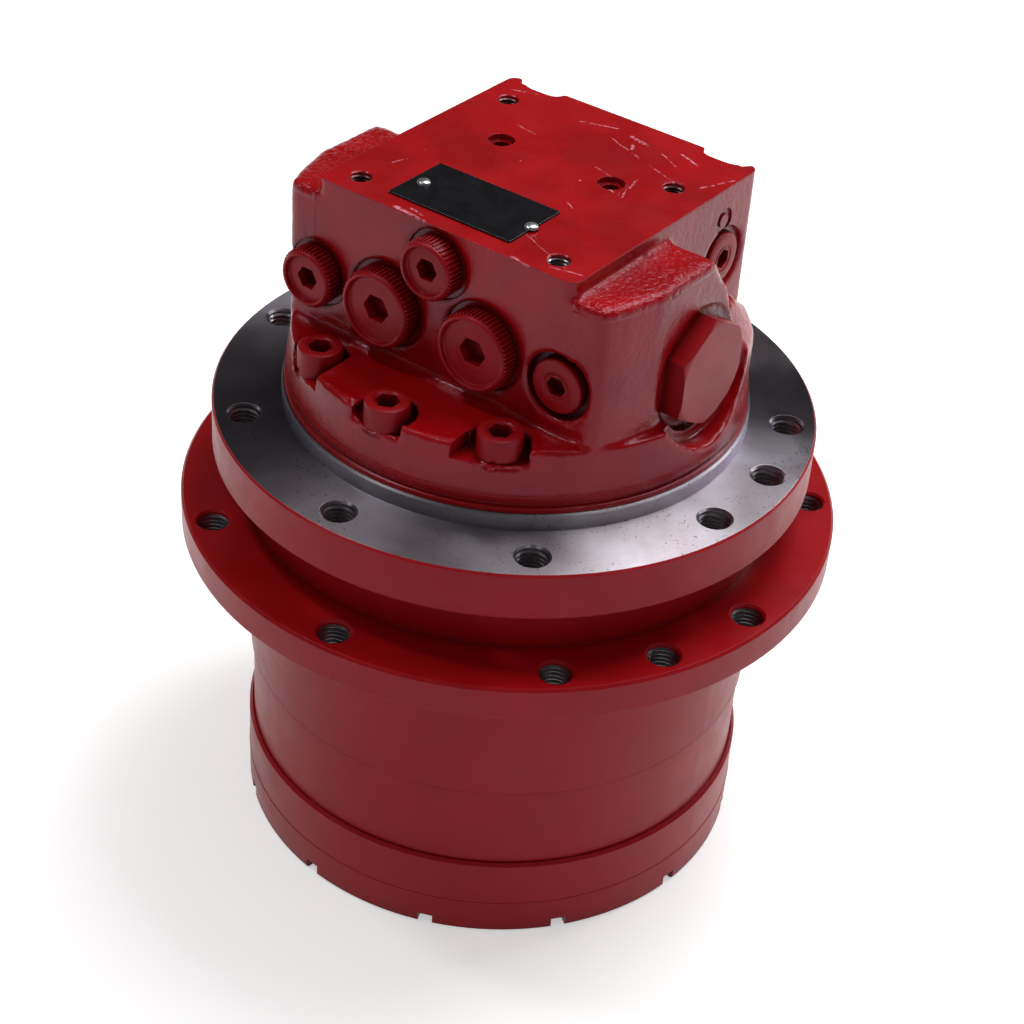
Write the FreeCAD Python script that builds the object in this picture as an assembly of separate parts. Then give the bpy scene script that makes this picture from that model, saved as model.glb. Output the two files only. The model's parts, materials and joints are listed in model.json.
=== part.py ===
import FreeCAD, Part
import math
import os

# Excavator final drive: a fixed motor casing and valve block, and a hub that turns on it.
# Millimetres. The origin is the bottom centre, +Z runs up the shaft, and the valve
# block's plugged front wall faces -Y.

os.makedirs("parts", exist_ok=True)
V = FreeCAD.Vector
X_AXIS, Y_AXIS, Z_AXIS = V(1, 0, 0), V(0, 1, 0), V(0, 0, 1)

# Clearances
running = 0.3            # between pieces that move past each other
bearing_fit = 0.05       # radial play of a shaft in its bearing

# Gears: one module, two stages that share the ring gear's teeth
module = 3.0
pressure_angle = math.radians(25.0)
tooth_thinning = 0.4         # taken off each tooth at the pitch circle
ring_teeth = 54
sun_1_teeth = 12
planet_1_teeth = 21
planet_1_count = 3
sun_2_teeth = 14
planet_2_teeth = 20
planet_2_count = 4
gear_bottom = 22.0
stage_1_bottom = 23.0
stage_1_width = 15.0
carrier_1_bottom = 39.5
carrier_1_thickness = 7.0
stage_2_bottom = 48.5
stage_2_width = 23.0
carrier_2_bottom = 73.5
carrier_2_thickness = 15.0
pin_1_radius = 10.0
pin_2_radius = 11.0
pitch_radius_ring = module * ring_teeth / 2
centre_1 = module * (sun_1_teeth + planet_1_teeth) / 2
centre_2 = module * (sun_2_teeth + planet_2_teeth) / 2
ring_tip_radius = pitch_radius_ring - module
ring_root_radius = pitch_radius_ring + 1.25 * module
carrier_1_radius = centre_1 + 16.5
carrier_2_radius = ring_tip_radius - 1.0

# Outside of the turning half, sized round the gears and bearings
hole_radius = 6.0            # M12, drawn at the outside of the thread
hole_chamfer = 0.9
hole_count = 9
hole_edge = 10.0             # from the sprocket holes' circle to the flange's rim
bearing_outside = ring_root_radius + 3.25
hub_wall = 14.0
cover_height = 15.5
hub_radius = bearing_outside + hub_wall
ring_radius = hub_radius - 1.0
cover_radius = hub_radius + 1.0
band_top = 36.5              # thicker band at the foot of the ring gear
ring_top = 72.5              # joint between ring gear and hub
seal_housing_radius = bearing_outside + 9.0
neck_radius = seal_housing_radius + 7.5
neck_top = 165.5
sprocket_flange_bottom = 133.5
sprocket_flange_thickness = 14.0
sprocket_circle = neck_radius + 14.5
sprocket_flange_radius = sprocket_circle + hole_edge
sprocket_pilot_radius = hub_radius + 2.0
sprocket_pilot_height = 10.0
notch_count = 12
notch_width = 6.0
notch_height = 5.0
notch_depth = 4.5
notch_phase = -7.0

# Outside of the fixed half
frame_flange_bottom = 169.0
frame_flange_thickness = 19.5
frame_circle = seal_housing_radius + hole_radius + 2.0
frame_flange_radius = frame_circle + hole_edge + 1.5
pilot_radius = frame_circle - 15.0
pilot_height = 6.5
frame_face = frame_flange_bottom + frame_flange_thickness
casing_top = frame_face + pilot_height

# Main bearings between casing and hub
bearing_bore = bearing_outside - 20.0
bearing_width = 18.0
bearing_gap = 4.0            # shoulder in the hub between the two outer rings
lower_bearing_bottom = 99.0
roller_count = 22
roller_radius = 4.4
roller_length = 12.0
roller_tilt = math.radians(12.0)
upper_bearing_bottom = lower_bearing_bottom + bearing_width + bearing_gap
upper_bearing_top = upper_bearing_bottom + bearing_width
bearing_mean = (bearing_bore + bearing_outside) / 2

# Face seal between hub neck and casing
seal_plane = 162.0
seal_inner_radius = seal_housing_radius - 10.5
seal_ring_height = 13.5
seal_cord_radius = 3.4
hub_seal_floor = 147.0

# Block screws, and the parking brake inside them
screw_radius = 5.0           # M10
screw_circle = pilot_radius - 10.7
brake_piston_radius = screw_circle - 13.3
brake_piston_bore = brake_piston_radius + running
brake_plate_radius = brake_piston_radius - 6.0
brake_bore = brake_plate_radius + running
brake_lug_radius = brake_plate_radius + 4.0
brake_floor = 147.0
brake_plate_thickness = 2.0
brake_disc_thickness = 2.4
brake_disc_count = 3
brake_lug_count = 6
brake_step = 170.0
brake_stack_pitch = brake_plate_thickness + brake_disc_thickness + 2 * running
brake_stack_top = brake_floor + brake_disc_count * brake_stack_pitch + brake_plate_thickness

# Motor, inside the brake
nose_bottom = carrier_2_bottom + carrier_2_thickness
nose_radius = bearing_bore - 2.0
motor_bore = brake_plate_radius - 12.0
shaft_radius = 15.0
needle_radius = 2.5
needle_count = 12
swash_floor = 115.0
swash_thickness = 12.0
swash_radius = motor_bore - 3.0
cylinder_block_bottom = 145.0
cylinder_block_top = 186.0
cylinder_block_radius = motor_bore - 6.0
piston_count = 9
piston_circle = cylinder_block_radius - 13.0
piston_radius = 7.5
valve_plate_thickness = 4.0
block_spigot_bottom = cylinder_block_top + valve_plate_thickness

# Valve block
ledge_rise = 24.0            # from the pilot up to the shelf that the front screws pass through
block_rise = 61.5            # from the shelf up to the machined top
ledge_height = casing_top + ledge_rise
block_top = ledge_height + block_rise
screw_seat = ledge_height - 5.5
lug_top = block_top - 6.0    # rough shoulders each side of the top face
spool_height = ledge_height + 14.5
front_wall = -52.0
back_wall = 66.0
side_wall = 57.0
corner_radius = 4.0
lug_side = 78.0
front_corner = 70.0
lug_back = 6.0
block_middle = -0.5          # the casting's own middle stands a little left of the axis
base_radius = pilot_radius - 1.0
screw_spread = 31.5          # outer screws, degrees each side of the middle one
screw_head_radius = 8.5
screw_head_height = 10.0
spool_radius = 13.0
spool_cap_flats = 38.0
spool_cap_height = 8.5
pattern_x = -2.0             # the plugs and top holes sit a little off the middle
plug_row = ledge_height + 22.2
cap_projection = 7.5
large_cap_radius = 15.3
small_cap_radius = 11.5


def cylinder(radius, z0, z1, x=0.0, y=0.0):
    """Upright round bar."""
    return Part.makeCylinder(radius, z1 - z0, V(x, y, z0), Z_AXIS)


def tube(outer, inner, z0, z1, x=0.0, y=0.0):
    """Upright round tube."""
    margin = 1.0
    hole = cylinder(inner, z0 - margin, z1 + margin, x, y)
    return cylinder(outer, z0, z1, x, y).cut(hole)


def box(x0, x1, y0, y1, z0, z1):
    """Square block between two corners."""
    return Part.makeBox(x1 - x0, y1 - y0, z1 - z0, V(x0, y0, z0))


def turned(points):
    """Solid of revolution about Z from (radius, height) points."""
    corners = [V(r, 0, z) for r, z in points]
    face = Part.Face(Part.makePolygon(corners + corners[:1]))
    return face.revolve(V(0, 0, 0), Z_AXIS, 360)


def prism(points, z0, z1):
    """Upright prism over a list of (x, y) corners."""
    corners = [V(x, y, z0) for x, y in points]
    face = Part.Face(Part.makePolygon(corners + corners[:1]))
    return face.extrude(V(0, 0, z1 - z0))


def rounded_outline(corners, radius):
    """Face over a closed list of corners, each rounded by an arc that fits its sides."""
    edges, first, last = [], None, None
    for i, corner in enumerate(corners):
        back = corners[i - 1] - corner
        ahead = corners[(i + 1) % len(corners)] - corner
        half = back.getAngle(ahead) / 2
        if math.pi / 2 - half < 0.01:
            continue
        reach = min(radius / math.tan(half), back.Length / 3, ahead.Length / 3)
        back.normalize()
        ahead.normalize()
        middle = back + ahead
        middle.normalize()
        start, end = corner + back * reach, corner + ahead * reach
        bulge = reach / math.cos(half) - reach * math.tan(half)
        if last is not None:
            edges.append(Part.makeLine(last, start))
        edges.append(Part.Arc(start, corner + middle * bulge, end).toShape())
        first, last = first or start, end
    edges.append(Part.makeLine(last, first))
    return Part.Face(Part.Wire(edges))


def rounded_prism(points, radius, z0, z1):
    """Upright prism with rounded vertical corners."""
    corners = [V(x, y, z0) for x, y in points]
    return rounded_outline(corners, radius).extrude(V(0, 0, z1 - z0))


def cord(radius, cord_radius, z):
    """Rubber ring, its round section drawn with eight sides."""
    section = []
    for i in range(8):
        angle = math.pi * (i + 0.5) / 4
        section.append((radius + cord_radius * math.cos(angle), z + cord_radius * math.sin(angle)))
    return turned(section)


def polar(radius, degrees):
    """Plan position from radius and angle."""
    angle = math.radians(degrees)
    return radius * math.cos(angle), radius * math.sin(angle)


def around(shape, count, first=0.0):
    """Copies of a shape evenly spaced about the Z axis."""
    copies = []
    for i in range(count):
        copy = shape.copy()
        copy.rotate(V(0, 0, 0), Z_AXIS, first + i * 360.0 / count)
        copies.append(copy)
    return copies


def fused(shapes):
    """One solid from touching shapes."""
    return shapes[0].multiFuse(shapes[1:]).removeSplitter()


def toward(shape, direction, position):
    """Move a shape drawn along +Z so that +Z points along direction."""
    copy = shape.copy()
    copy.Placement = FreeCAD.Placement(position, FreeCAD.Rotation(Z_AXIS, direction))
    return copy


def tapped(radius, depth, chamfer, x, y, z_mouth, through=False):
    """Cutter for an upright hole with a chamfered mouth at its top."""
    over = 1.0
    foot = z_mouth - depth - (over if through else 0.0)
    bore = cylinder(radius, foot, z_mouth + over, x, y)
    mouth = Part.makeCone(radius, radius + chamfer + over, chamfer + over,
                          V(x, y, z_mouth - chamfer), Z_AXIS)
    return bore.fuse(mouth)


def involute(angle):
    """Involute function of a pressure angle."""
    return math.tan(angle) - angle


def flank_angle(teeth, radius, thinning):
    """Half the angle that a tooth covers at a radius."""
    pitch = module * teeth / 2
    base = pitch * math.cos(pressure_angle)
    local = math.acos(min(1.0, base / max(radius, base)))
    half = math.pi / (2 * teeth) - thinning / (2 * pitch)
    return half + involute(pressure_angle) - involute(local)


def toothed(teeth, root, tip, thinning, centre_angle, z0, z1):
    """Spur-toothed wheel with flanks through three points of the involute."""
    base = module * teeth / 2 * math.cos(pressure_angle)
    start = max(root, base)
    levels = [start, (start + tip) / 2, tip]
    if start > root:
        levels.insert(0, root)
    corners = []
    for i in range(teeth):
        centre = centre_angle + i * 2 * math.pi / teeth
        for side, run in ((-1, levels), (1, levels[::-1])):
            for radius in run:
                angle = centre + side * flank_angle(teeth, max(radius, start), thinning)
                corners.append((radius * math.cos(angle), radius * math.sin(angle)))
    return prism(corners, z0, z1)


def external_gear(teeth, centre_angle, z0, z1):
    """Gear wheel without a bore."""
    pitch = module * teeth / 2
    return toothed(teeth, pitch - 1.25 * module, pitch + module, tooth_thinning,
                   centre_angle, z0, z1)


def planet_phase(position, teeth):
    """Tooth angle that meshes a planet with the ring gear, whose tooth 0 is at +X."""
    turns = position * ring_teeth / (2 * math.pi)
    return position - (turns - 0.5) * 2 * math.pi / teeth


def sun_phase(position, planet_teeth, sun_teeth):
    """Tooth angle that meshes a sun gear with the planet at a position."""
    facing = position + math.pi - planet_phase(position, planet_teeth)
    turns = facing * planet_teeth / (2 * math.pi)
    return position - (0.5 - turns) * 2 * math.pi / sun_teeth


def hexagon(flats, z0, z1):
    """Upright hexagonal bar with its flats facing X."""
    reach = flats / 2 / math.cos(math.pi / 6)
    return prism([polar(reach, 30.0 + 60.0 * i) for i in range(6)], z0, z1)


def socket_screw(radius, head_radius, head_height, length, x, y, seat, up=1):
    """Socket-head screw standing on a seat; up=-1 hangs it head down."""
    socket_depth = head_height * 0.55
    edge = 0.8
    head = turned([(0, 0), (head_radius, 0), (head_radius, head_height - edge),
                   (head_radius - edge, head_height), (0, head_height)])
    head = head.cut(hexagon(radius * 1.6, head_height - socket_depth, head_height + 1))
    screw = head.fuse(cylinder(radius, -length, 0.5))
    if up < 0:
        screw.rotate(V(0, 0, 0), X_AXIS, 180)
    screw.translate(V(x, y, seat))
    return screw


def save(name, shape):
    """Write one node's STEP file."""
    shape.exportStep("parts/" + name + ".step")


def save_all(name, shapes):
    """Write several loose pieces as one node."""
    save(name, Part.makeCompound(shapes))


# Turning half: hub, ring gear and end cover
sprocket_flange_top = sprocket_flange_bottom + sprocket_flange_thickness
lower_bore = bearing_outside + running
hub_profile = [
    (lower_bore, ring_top), (hub_radius, ring_top),
    (hub_radius, sprocket_flange_bottom - sprocket_pilot_height),
    (sprocket_pilot_radius, sprocket_flange_bottom - sprocket_pilot_height),
    (sprocket_pilot_radius, sprocket_flange_bottom),
    (sprocket_flange_radius - 1.0, sprocket_flange_bottom),
    (sprocket_flange_radius, sprocket_flange_bottom + 1.0),
    (sprocket_flange_radius, sprocket_flange_top - 1.0),
    (sprocket_flange_radius - 1.0, sprocket_flange_top),
    (neck_radius, sprocket_flange_top), (neck_radius, neck_top - 0.8),
    (neck_radius - 0.8, neck_top), (seal_housing_radius, neck_top),
    (seal_housing_radius, hub_seal_floor), (bearing_outside, hub_seal_floor),
    (bearing_outside, upper_bearing_bottom), (bearing_outside - 5.0, upper_bearing_bottom),
    (bearing_outside - 5.0, lower_bearing_bottom + bearing_width),
    (bearing_outside, lower_bearing_bottom + bearing_width),
    (bearing_outside, lower_bearing_bottom), (lower_bore, lower_bearing_bottom - 2.0)]
hub = turned(hub_profile)

extra_angle = 20.0           # the tenth hole stands midway between two of the nine
sprocket_first = -125.1
frame_first = -90.0
for i in range(hole_count):
    x, y = polar(sprocket_circle, sprocket_first + i * 360.0 / hole_count)
    hub = hub.cut(tapped(hole_radius, sprocket_flange_thickness, hole_chamfer,
                         x, y, sprocket_flange_top, True))
sprocket_extra = sprocket_first + 2 * 360.0 / hole_count + extra_angle
x, y = polar(sprocket_circle, sprocket_extra)
hub = hub.cut(tapped(hole_radius, sprocket_flange_thickness, hole_chamfer,
                     x, y, sprocket_flange_top, True))

cover_screw_circle = ring_radius - 6.5
cover_screw_radius = 4.0     # M8
cover_screw_first = notch_phase + 180.0 / notch_count
cover_screw_reach = 92.0
thread_hole = cylinder(cover_screw_radius, ring_top - 1, cover_screw_reach + 2,
                       cover_screw_circle)
hub = hub.cut(Part.makeCompound(around(thread_hole, notch_count, cover_screw_first)))
save("hub", hub)

# Ring gear: one toothed bore serves both planet stages
cover_spigot_radius = ring_root_radius + 1.75
band_edge = 1.2
ring_body = turned([
    (cover_spigot_radius, cover_height), (cover_radius, cover_height),
    (cover_radius, band_top - band_edge), (cover_radius - band_edge, band_top),
    (ring_radius, band_top), (ring_radius, ring_top), (ring_tip_radius - 2, ring_top),
    (ring_tip_radius - 2, gear_bottom), (cover_spigot_radius, gear_bottom)])
ring_cutter = toothed(ring_teeth, ring_tip_radius, ring_root_radius, -tooth_thinning,
                      math.pi / ring_teeth, gear_bottom - 1, ring_top + 1)
ring_gear = ring_body.cut(ring_cutter)
clear_hole = cylinder(cover_screw_radius + running, cover_height - 1, ring_top + 1,
                      cover_screw_circle)
ring_gear = ring_gear.cut(Part.makeCompound(around(clear_hole, notch_count, cover_screw_first)))
save("ring_gear", ring_gear)

# End cover with wrench notches round its rim, screws, plugs and a thrust pad
cover_seal_cord = 1.6
cover_seal_z = cover_height + 3.0
cover_groove = cover_spigot_radius - 2 * cover_seal_cord
pad_radius = 14.0
sun_1_bottom = stage_1_bottom - 1.0
pad_top = sun_1_bottom - running
cover = turned([
    (0, 3.0), (34, 3.0), (36, 0), (cover_radius - 1.0, 0), (cover_radius, 1.0),
    (cover_radius, cover_height), (cover_spigot_radius, cover_height),
    (cover_spigot_radius, cover_seal_z - cover_seal_cord),
    (cover_groove, cover_seal_z - cover_seal_cord),
    (cover_groove, cover_seal_z + cover_seal_cord),
    (cover_spigot_radius, cover_seal_z + cover_seal_cord),
    (cover_spigot_radius, gear_bottom - running), (cover_spigot_radius - 8, gear_bottom - running),
    (cover_spigot_radius - 12, cover_height - 2), (pad_radius + 8, cover_height - 2),
    (pad_radius + 4, cover_height), (pad_radius, cover_height),
    (pad_radius, cover_height - 4), (0, cover_height - 4)])
notch = box(cover_radius - notch_depth, cover_radius + 2, -notch_width / 2, notch_width / 2,
            -1, notch_height)
cover = cover.cut(Part.makeCompound(around(notch, notch_count, notch_phase)))
head_pocket = 9.0
screw_hole = cylinder(cover_screw_radius + running, -1, cover_height + 1, cover_screw_circle)
screw_hole = screw_hole.fuse(cylinder(7.0, -1, head_pocket, cover_screw_circle))
cover = cover.cut(Part.makeCompound(around(screw_hole, notch_count, cover_screw_first)))
plug_circle = cover_spigot_radius - 28.5
plug_radius = 10.0
plug_angles = (90.0, 180.0)
cover_plugs = []
for angle in plug_angles:
    x, y = polar(plug_circle, angle)
    cover = cover.cut(cylinder(plug_radius, -1, cover_height, x, y))
    cover = cover.cut(cylinder(plug_radius + 3.5, -1, 3.0, x, y))
    plug = turned([(0, 0.6), (plug_radius + 3.2, 0.6), (plug_radius + 3.2, 3.0),
                   (plug_radius, 3.0), (plug_radius, 13.5), (0, 13.5)])
    plug = plug.cut(hexagon(10.0, -1, 8.0))
    plug.translate(V(x, y, 0))
    cover_plugs.append(plug)
save("end_cover", cover)
save_all("cover_plugs", cover_plugs)
cover_screw = socket_screw(cover_screw_radius, 6.5, 8.0, cover_screw_reach - head_pocket,
                           cover_screw_circle, 0, head_pocket, -1)
save_all("cover_screws", around(cover_screw, notch_count, cover_screw_first))
save("cover_o_ring", cord(cover_groove + cover_seal_cord, cover_seal_cord, cover_seal_z))
save("thrust_pad", cylinder(pad_radius, cover_height - 4, pad_top))

# First stage: sun on the motor shaft, three planets on a turning carrier
sun_1_phase = sun_phase(0.0, planet_1_teeth, sun_1_teeth)
sun_2_phase = sun_phase(0.0, planet_2_teeth, sun_2_teeth)
shank_radius = 9.0
shank_flat = 7.4
shank_top = nose_bottom + 8.0
coupling_top = shank_top - 16.0
sun_1 = external_gear(sun_1_teeth, sun_1_phase, sun_1_bottom, carrier_1_bottom - 1)
sun_1 = sun_1.fuse(cylinder(shank_radius, carrier_1_bottom - 1, shank_top))
shank_flats = box(-30, 30, shank_flat, 30, coupling_top, shank_top + 1)
sun_1 = sun_1.cut(Part.makeCompound(around(shank_flats, 4)))
save("stage_1_sun", sun_1)

stage_1_top = stage_1_bottom + stage_1_width
carrier_1_top = carrier_1_bottom + carrier_1_thickness
pin_head = 1.8
planet_bore_1 = pin_1_radius + bearing_fit
for i in range(planet_1_count):
    position = 2 * math.pi * i / planet_1_count
    x, y = centre_1 * math.cos(position), centre_1 * math.sin(position)
    wheel = external_gear(planet_1_teeth, planet_phase(position, planet_1_teeth),
                          stage_1_bottom, stage_1_top)
    wheel = wheel.cut(cylinder(planet_bore_1, stage_1_bottom - 1, stage_1_top + 1))
    for low in (stage_1_bottom - 1, stage_1_top - 2):
        wheel = wheel.cut(tube(26.0, 16.0, low, low + 3))
    wheel.translate(V(x, y, 0))
    save("stage_1_planet_%d" % (i + 1), wheel)
pin_1 = turned([(0, stage_1_bottom - pin_head), (pin_1_radius + 3, stage_1_bottom - pin_head),
                (pin_1_radius + 3, stage_1_bottom - running), (pin_1_radius, stage_1_bottom - running),
                (pin_1_radius, carrier_1_top), (0, carrier_1_top)])
pin_1.translate(V(centre_1, 0, 0))
save_all("stage_1_pins", around(pin_1, planet_1_count))
carrier_1 = cylinder(carrier_1_radius, carrier_1_bottom, carrier_1_top)
carrier_1 = carrier_1.fuse(cylinder(28.0, carrier_1_bottom, carrier_1_top + 1.2))
thrust_ring = tube(15.0, pin_1_radius, stage_1_top + running, carrier_1_bottom + 1, centre_1)
carrier_1 = fused([carrier_1] + around(thrust_ring, planet_1_count))
pin_seat = cylinder(pin_1_radius, carrier_1_bottom - 2, carrier_1_top + 1, centre_1)
window = cylinder(13.0, carrier_1_bottom - 1, carrier_1_top + 1, centre_1 - 4)
carrier_1 = carrier_1.cut(Part.makeCompound(around(pin_seat, planet_1_count)))
carrier_1 = carrier_1.cut(Part.makeCompound(around(window, planet_1_count, 60)))
spline = toothed(sun_2_teeth, module * sun_2_teeth / 2 - 1.25 * module + bearing_fit,
                 module * sun_2_teeth / 2 + module + bearing_fit, tooth_thinning - 2 * bearing_fit,
                 sun_2_phase, carrier_1_bottom - 1, carrier_1_top + 3)
save("stage_1_carrier", carrier_1.cut(spline))
sun_2 = external_gear(sun_2_teeth, sun_2_phase, carrier_1_bottom, stage_2_bottom + stage_2_width)
sun_2 = sun_2.cut(cylinder(shank_radius + 2.5, carrier_1_bottom - 1, carrier_2_bottom))
save("stage_2_sun", sun_2)

# Second stage: four planets on the carrier that is bolted to the casing's nose
stage_2_top = stage_2_bottom + stage_2_width
planet_bore_2 = pin_2_radius + bearing_fit
for i in range(planet_2_count):
    position = 2 * math.pi * i / planet_2_count
    x, y = centre_2 * math.cos(position), centre_2 * math.sin(position)
    wheel = external_gear(planet_2_teeth, planet_phase(position, planet_2_teeth),
                          stage_2_bottom, stage_2_top)
    wheel = wheel.cut(cylinder(planet_bore_2, stage_2_bottom - 1, stage_2_top + 1))
    for low in (stage_2_bottom - 1, stage_2_top - 3):
        wheel = wheel.cut(tube(24.5, 17.0, low, low + 4))
    wheel.translate(V(x, y, 0))
    save("stage_2_planet_%d" % (i + 1), wheel)
pin_2_foot = carrier_1_top + 1.6
pin_2 = cylinder(pin_2_radius, pin_2_foot, nose_bottom - 4, centre_2)
save_all("stage_2_pins", around(pin_2, planet_2_count))
carrier_2 = tube(carrier_2_radius, shaft_radius + 3, carrier_2_bottom, nose_bottom)
thrust_ring = tube(16.0, pin_2_radius, stage_2_top + running, carrier_2_bottom + 1, centre_2)
carrier_2 = fused([carrier_2] + around(thrust_ring, planet_2_count))
pin_seat = cylinder(pin_2_radius, carrier_2_bottom - 3, nose_bottom - 4, centre_2)
carrier_2 = carrier_2.cut(Part.makeCompound(around(pin_seat, planet_2_count)))
nose_screw_circle = nose_radius - 21.0
nose_screw_hole = cylinder(6.0 + running, carrier_2_bottom - 1, nose_bottom + 1, nose_screw_circle)
nose_screw_hole = nose_screw_hole.fuse(cylinder(9.6, carrier_2_bottom - 1, carrier_2_bottom + 9,
                                                nose_screw_circle))
carrier_2 = carrier_2.cut(Part.makeCompound(around(nose_screw_hole, planet_2_count, 45)))
save("stage_2_carrier", carrier_2)
nose_screw_length = 24.0
nose_screw_seat = carrier_2_bottom + 9.0
nose_screw = socket_screw(6.0, 9.0, 8.5, nose_screw_length, nose_screw_circle, 0,
                          nose_screw_seat, -1)
save_all("carrier_screws", around(nose_screw, planet_2_count, 45))


# Main bearings: inner rings on the casing, outer rings in the hub, tapered rollers between
def bearing_pieces(low, flip):
    """Inner ring, outer ring, rollers and cage of one tapered roller bearing."""
    middle = bearing_width / 2
    play = running
    inner = bearing_mean - roller_radius - play
    outer = bearing_mean + roller_radius + play
    edge = 1.0

    def ring(points):
        placed = []
        for r, z in points:
            placed.append((r, low + (bearing_width - z if flip else z)))
        return turned(placed)

    span = bearing_width / 2 * math.tan(roller_tilt)
    cone = ring([(bearing_bore, 0), (inner + span, 0), (inner - span, bearing_width - 2),
                 (bearing_bore, bearing_width - 2)])
    cup = ring([(bearing_outside, 2), (outer + span - 0.5, 2),
                (outer - span, bearing_width), (bearing_outside, bearing_width)])
    roller = Part.makeCylinder(roller_radius, roller_length, V(0, 0, -roller_length / 2), Z_AXIS)
    roller.rotate(V(0, 0, 0), Y_AXIS, math.degrees(roller_tilt) * (1 if flip else -1))
    roller.translate(V(bearing_mean, 0, low + middle))
    window_half = roller_radius + running
    window = box(bearing_mean - 6, bearing_mean + 6, -window_half, window_half,
                 low + middle - roller_length / 2 - 0.8, low + middle + roller_length / 2 + 0.8)
    cage_half = roller_length / 2 + 2.0
    lean = cage_half * math.tan(roller_tilt)
    cage = ring([(bearing_mean + lean - 1, middle - cage_half),
                 (bearing_mean + lean + 1, middle - cage_half),
                 (bearing_mean - lean + 1, middle + cage_half),
                 (bearing_mean - lean - 1, middle + cage_half)])
    cage = cage.cut(Part.makeCompound(around(window, roller_count)))
    return cone, cup, around(roller, roller_count) + [cage]


for name, low, flip in (("lower", lower_bearing_bottom, False), ("upper", upper_bearing_bottom, True)):
    cone, cup, rollers = bearing_pieces(low, flip)
    save(name + "_bearing_cone", cone)
    save(name + "_bearing_cup", cup)
    save_all(name + "_roller_set", rollers)
nut = tube(nose_radius + 10, nose_radius, lower_bearing_bottom - 8, lower_bearing_bottom)
nut_slot = box(nose_radius + 6, nose_radius + 14, -4, 4, lower_bearing_bottom - 9, lower_bearing_bottom - 4)
nut = nut.cut(Part.makeCompound(around(nut_slot, 6)))
save("bearing_nut", nut)

# Face seal: two equal metal rings back to back, each on its own rubber ring
tail_radius = seal_housing_radius - 2 * seal_cord_radius
for name, face, sign in (("hub", seal_plane, -1), ("casing", seal_plane + running, 1)):
    section = [(seal_inner_radius, 0), (seal_housing_radius - 0.8, 0),
               (seal_housing_radius - 0.8, 4.5), (tail_radius, 5.5),
               (tail_radius, seal_ring_height), (seal_inner_radius, seal_ring_height)]
    save(name + "_seal_ring", turned([(r, face + sign * z) for r, z in section]))
    cord_z = face + sign * 9.2
    save(name + "_seal_o_ring", cord(tail_radius + seal_cord_radius, seal_cord_radius, cord_z))

# Motor casing: nose, bearing seats, frame flange and pilot, with the motor's cavity
casing_neck = seal_inner_radius - 2.5
seal_roof = seal_plane + running + seal_ring_height + 1.5
needle_race = shaft_radius + 2 * needle_radius
seal_bore = 24.0
casing = turned([
    (seal_bore, nose_bottom), (nose_radius, nose_bottom), (nose_radius, lower_bearing_bottom),
    (bearing_bore, lower_bearing_bottom), (bearing_bore, upper_bearing_top),
    (bearing_bore + 8, upper_bearing_top), (casing_neck, upper_bearing_top + 4),
    (casing_neck, seal_roof), (seal_housing_radius, seal_roof),
    (seal_housing_radius, frame_flange_bottom),
    (frame_flange_radius - 1.0, frame_flange_bottom),
    (frame_flange_radius, frame_flange_bottom + 1.0),
    (frame_flange_radius, frame_face - 0.8), (frame_flange_radius - 0.8, frame_face),
    (pilot_radius, frame_face), (pilot_radius, casing_top - 0.6),
    (pilot_radius - 0.6, casing_top), (brake_piston_bore, casing_top),
    (brake_piston_bore, brake_step), (brake_bore, brake_step), (brake_bore, brake_floor - 1),
    (motor_bore, brake_floor - 1), (motor_bore, swash_floor), (needle_race, swash_floor),
    (needle_race, nose_bottom + 8.5), (shaft_radius + 1, nose_bottom + 8.5),
    (shaft_radius + 1, nose_bottom + 7.5), (seal_bore, nose_bottom + 7.5)])
lug_half = 6.0
lug_slot = box(brake_bore - 4, brake_lug_radius + running, -lug_half - running,
               lug_half + running, brake_floor - 1, brake_step)
casing = casing.cut(Part.makeCompound(around(lug_slot, brake_lug_count)))
block_seal_circle = brake_piston_radius + 3.6
block_seal_cord = 1.5
block_seal_half = block_seal_cord + 0.2
casing = casing.cut(tube(block_seal_circle + block_seal_half, block_seal_circle - block_seal_half,
                         casing_top - 2 * block_seal_cord, casing_top + 1))
screw_foot = seal_roof + 2.0
screw_angles = []
for side in (-90.0, 90.0):
    for offset in (-screw_spread, 0.0, screw_spread):
        screw_angles.append(side + offset)
for angle in screw_angles:
    x, y = polar(screw_circle, angle)
    casing = casing.cut(cylinder(screw_radius, screw_foot - 1, casing_top + 1, x, y))
frame_extra = frame_first + 2 * 360.0 / hole_count + extra_angle
frame_angles = [frame_first + i * 360.0 / hole_count for i in range(hole_count)]
for angle in frame_angles + [frame_extra]:
    x, y = polar(frame_circle, angle)
    casing = casing.cut(tapped(hole_radius, frame_flange_thickness, hole_chamfer,
                               x, y, frame_face, True))
for angle in (45.0, 135.0, 225.0, 315.0):
    x, y = polar(nose_screw_circle, angle)
    casing = casing.cut(cylinder(6.0, nose_bottom - 1,
                                 nose_screw_seat + nose_screw_length + 1.5, x, y))
save("motor_casing", casing)
save("block_o_ring", cord(block_seal_circle, block_seal_cord, casing_top - block_seal_cord))

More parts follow.
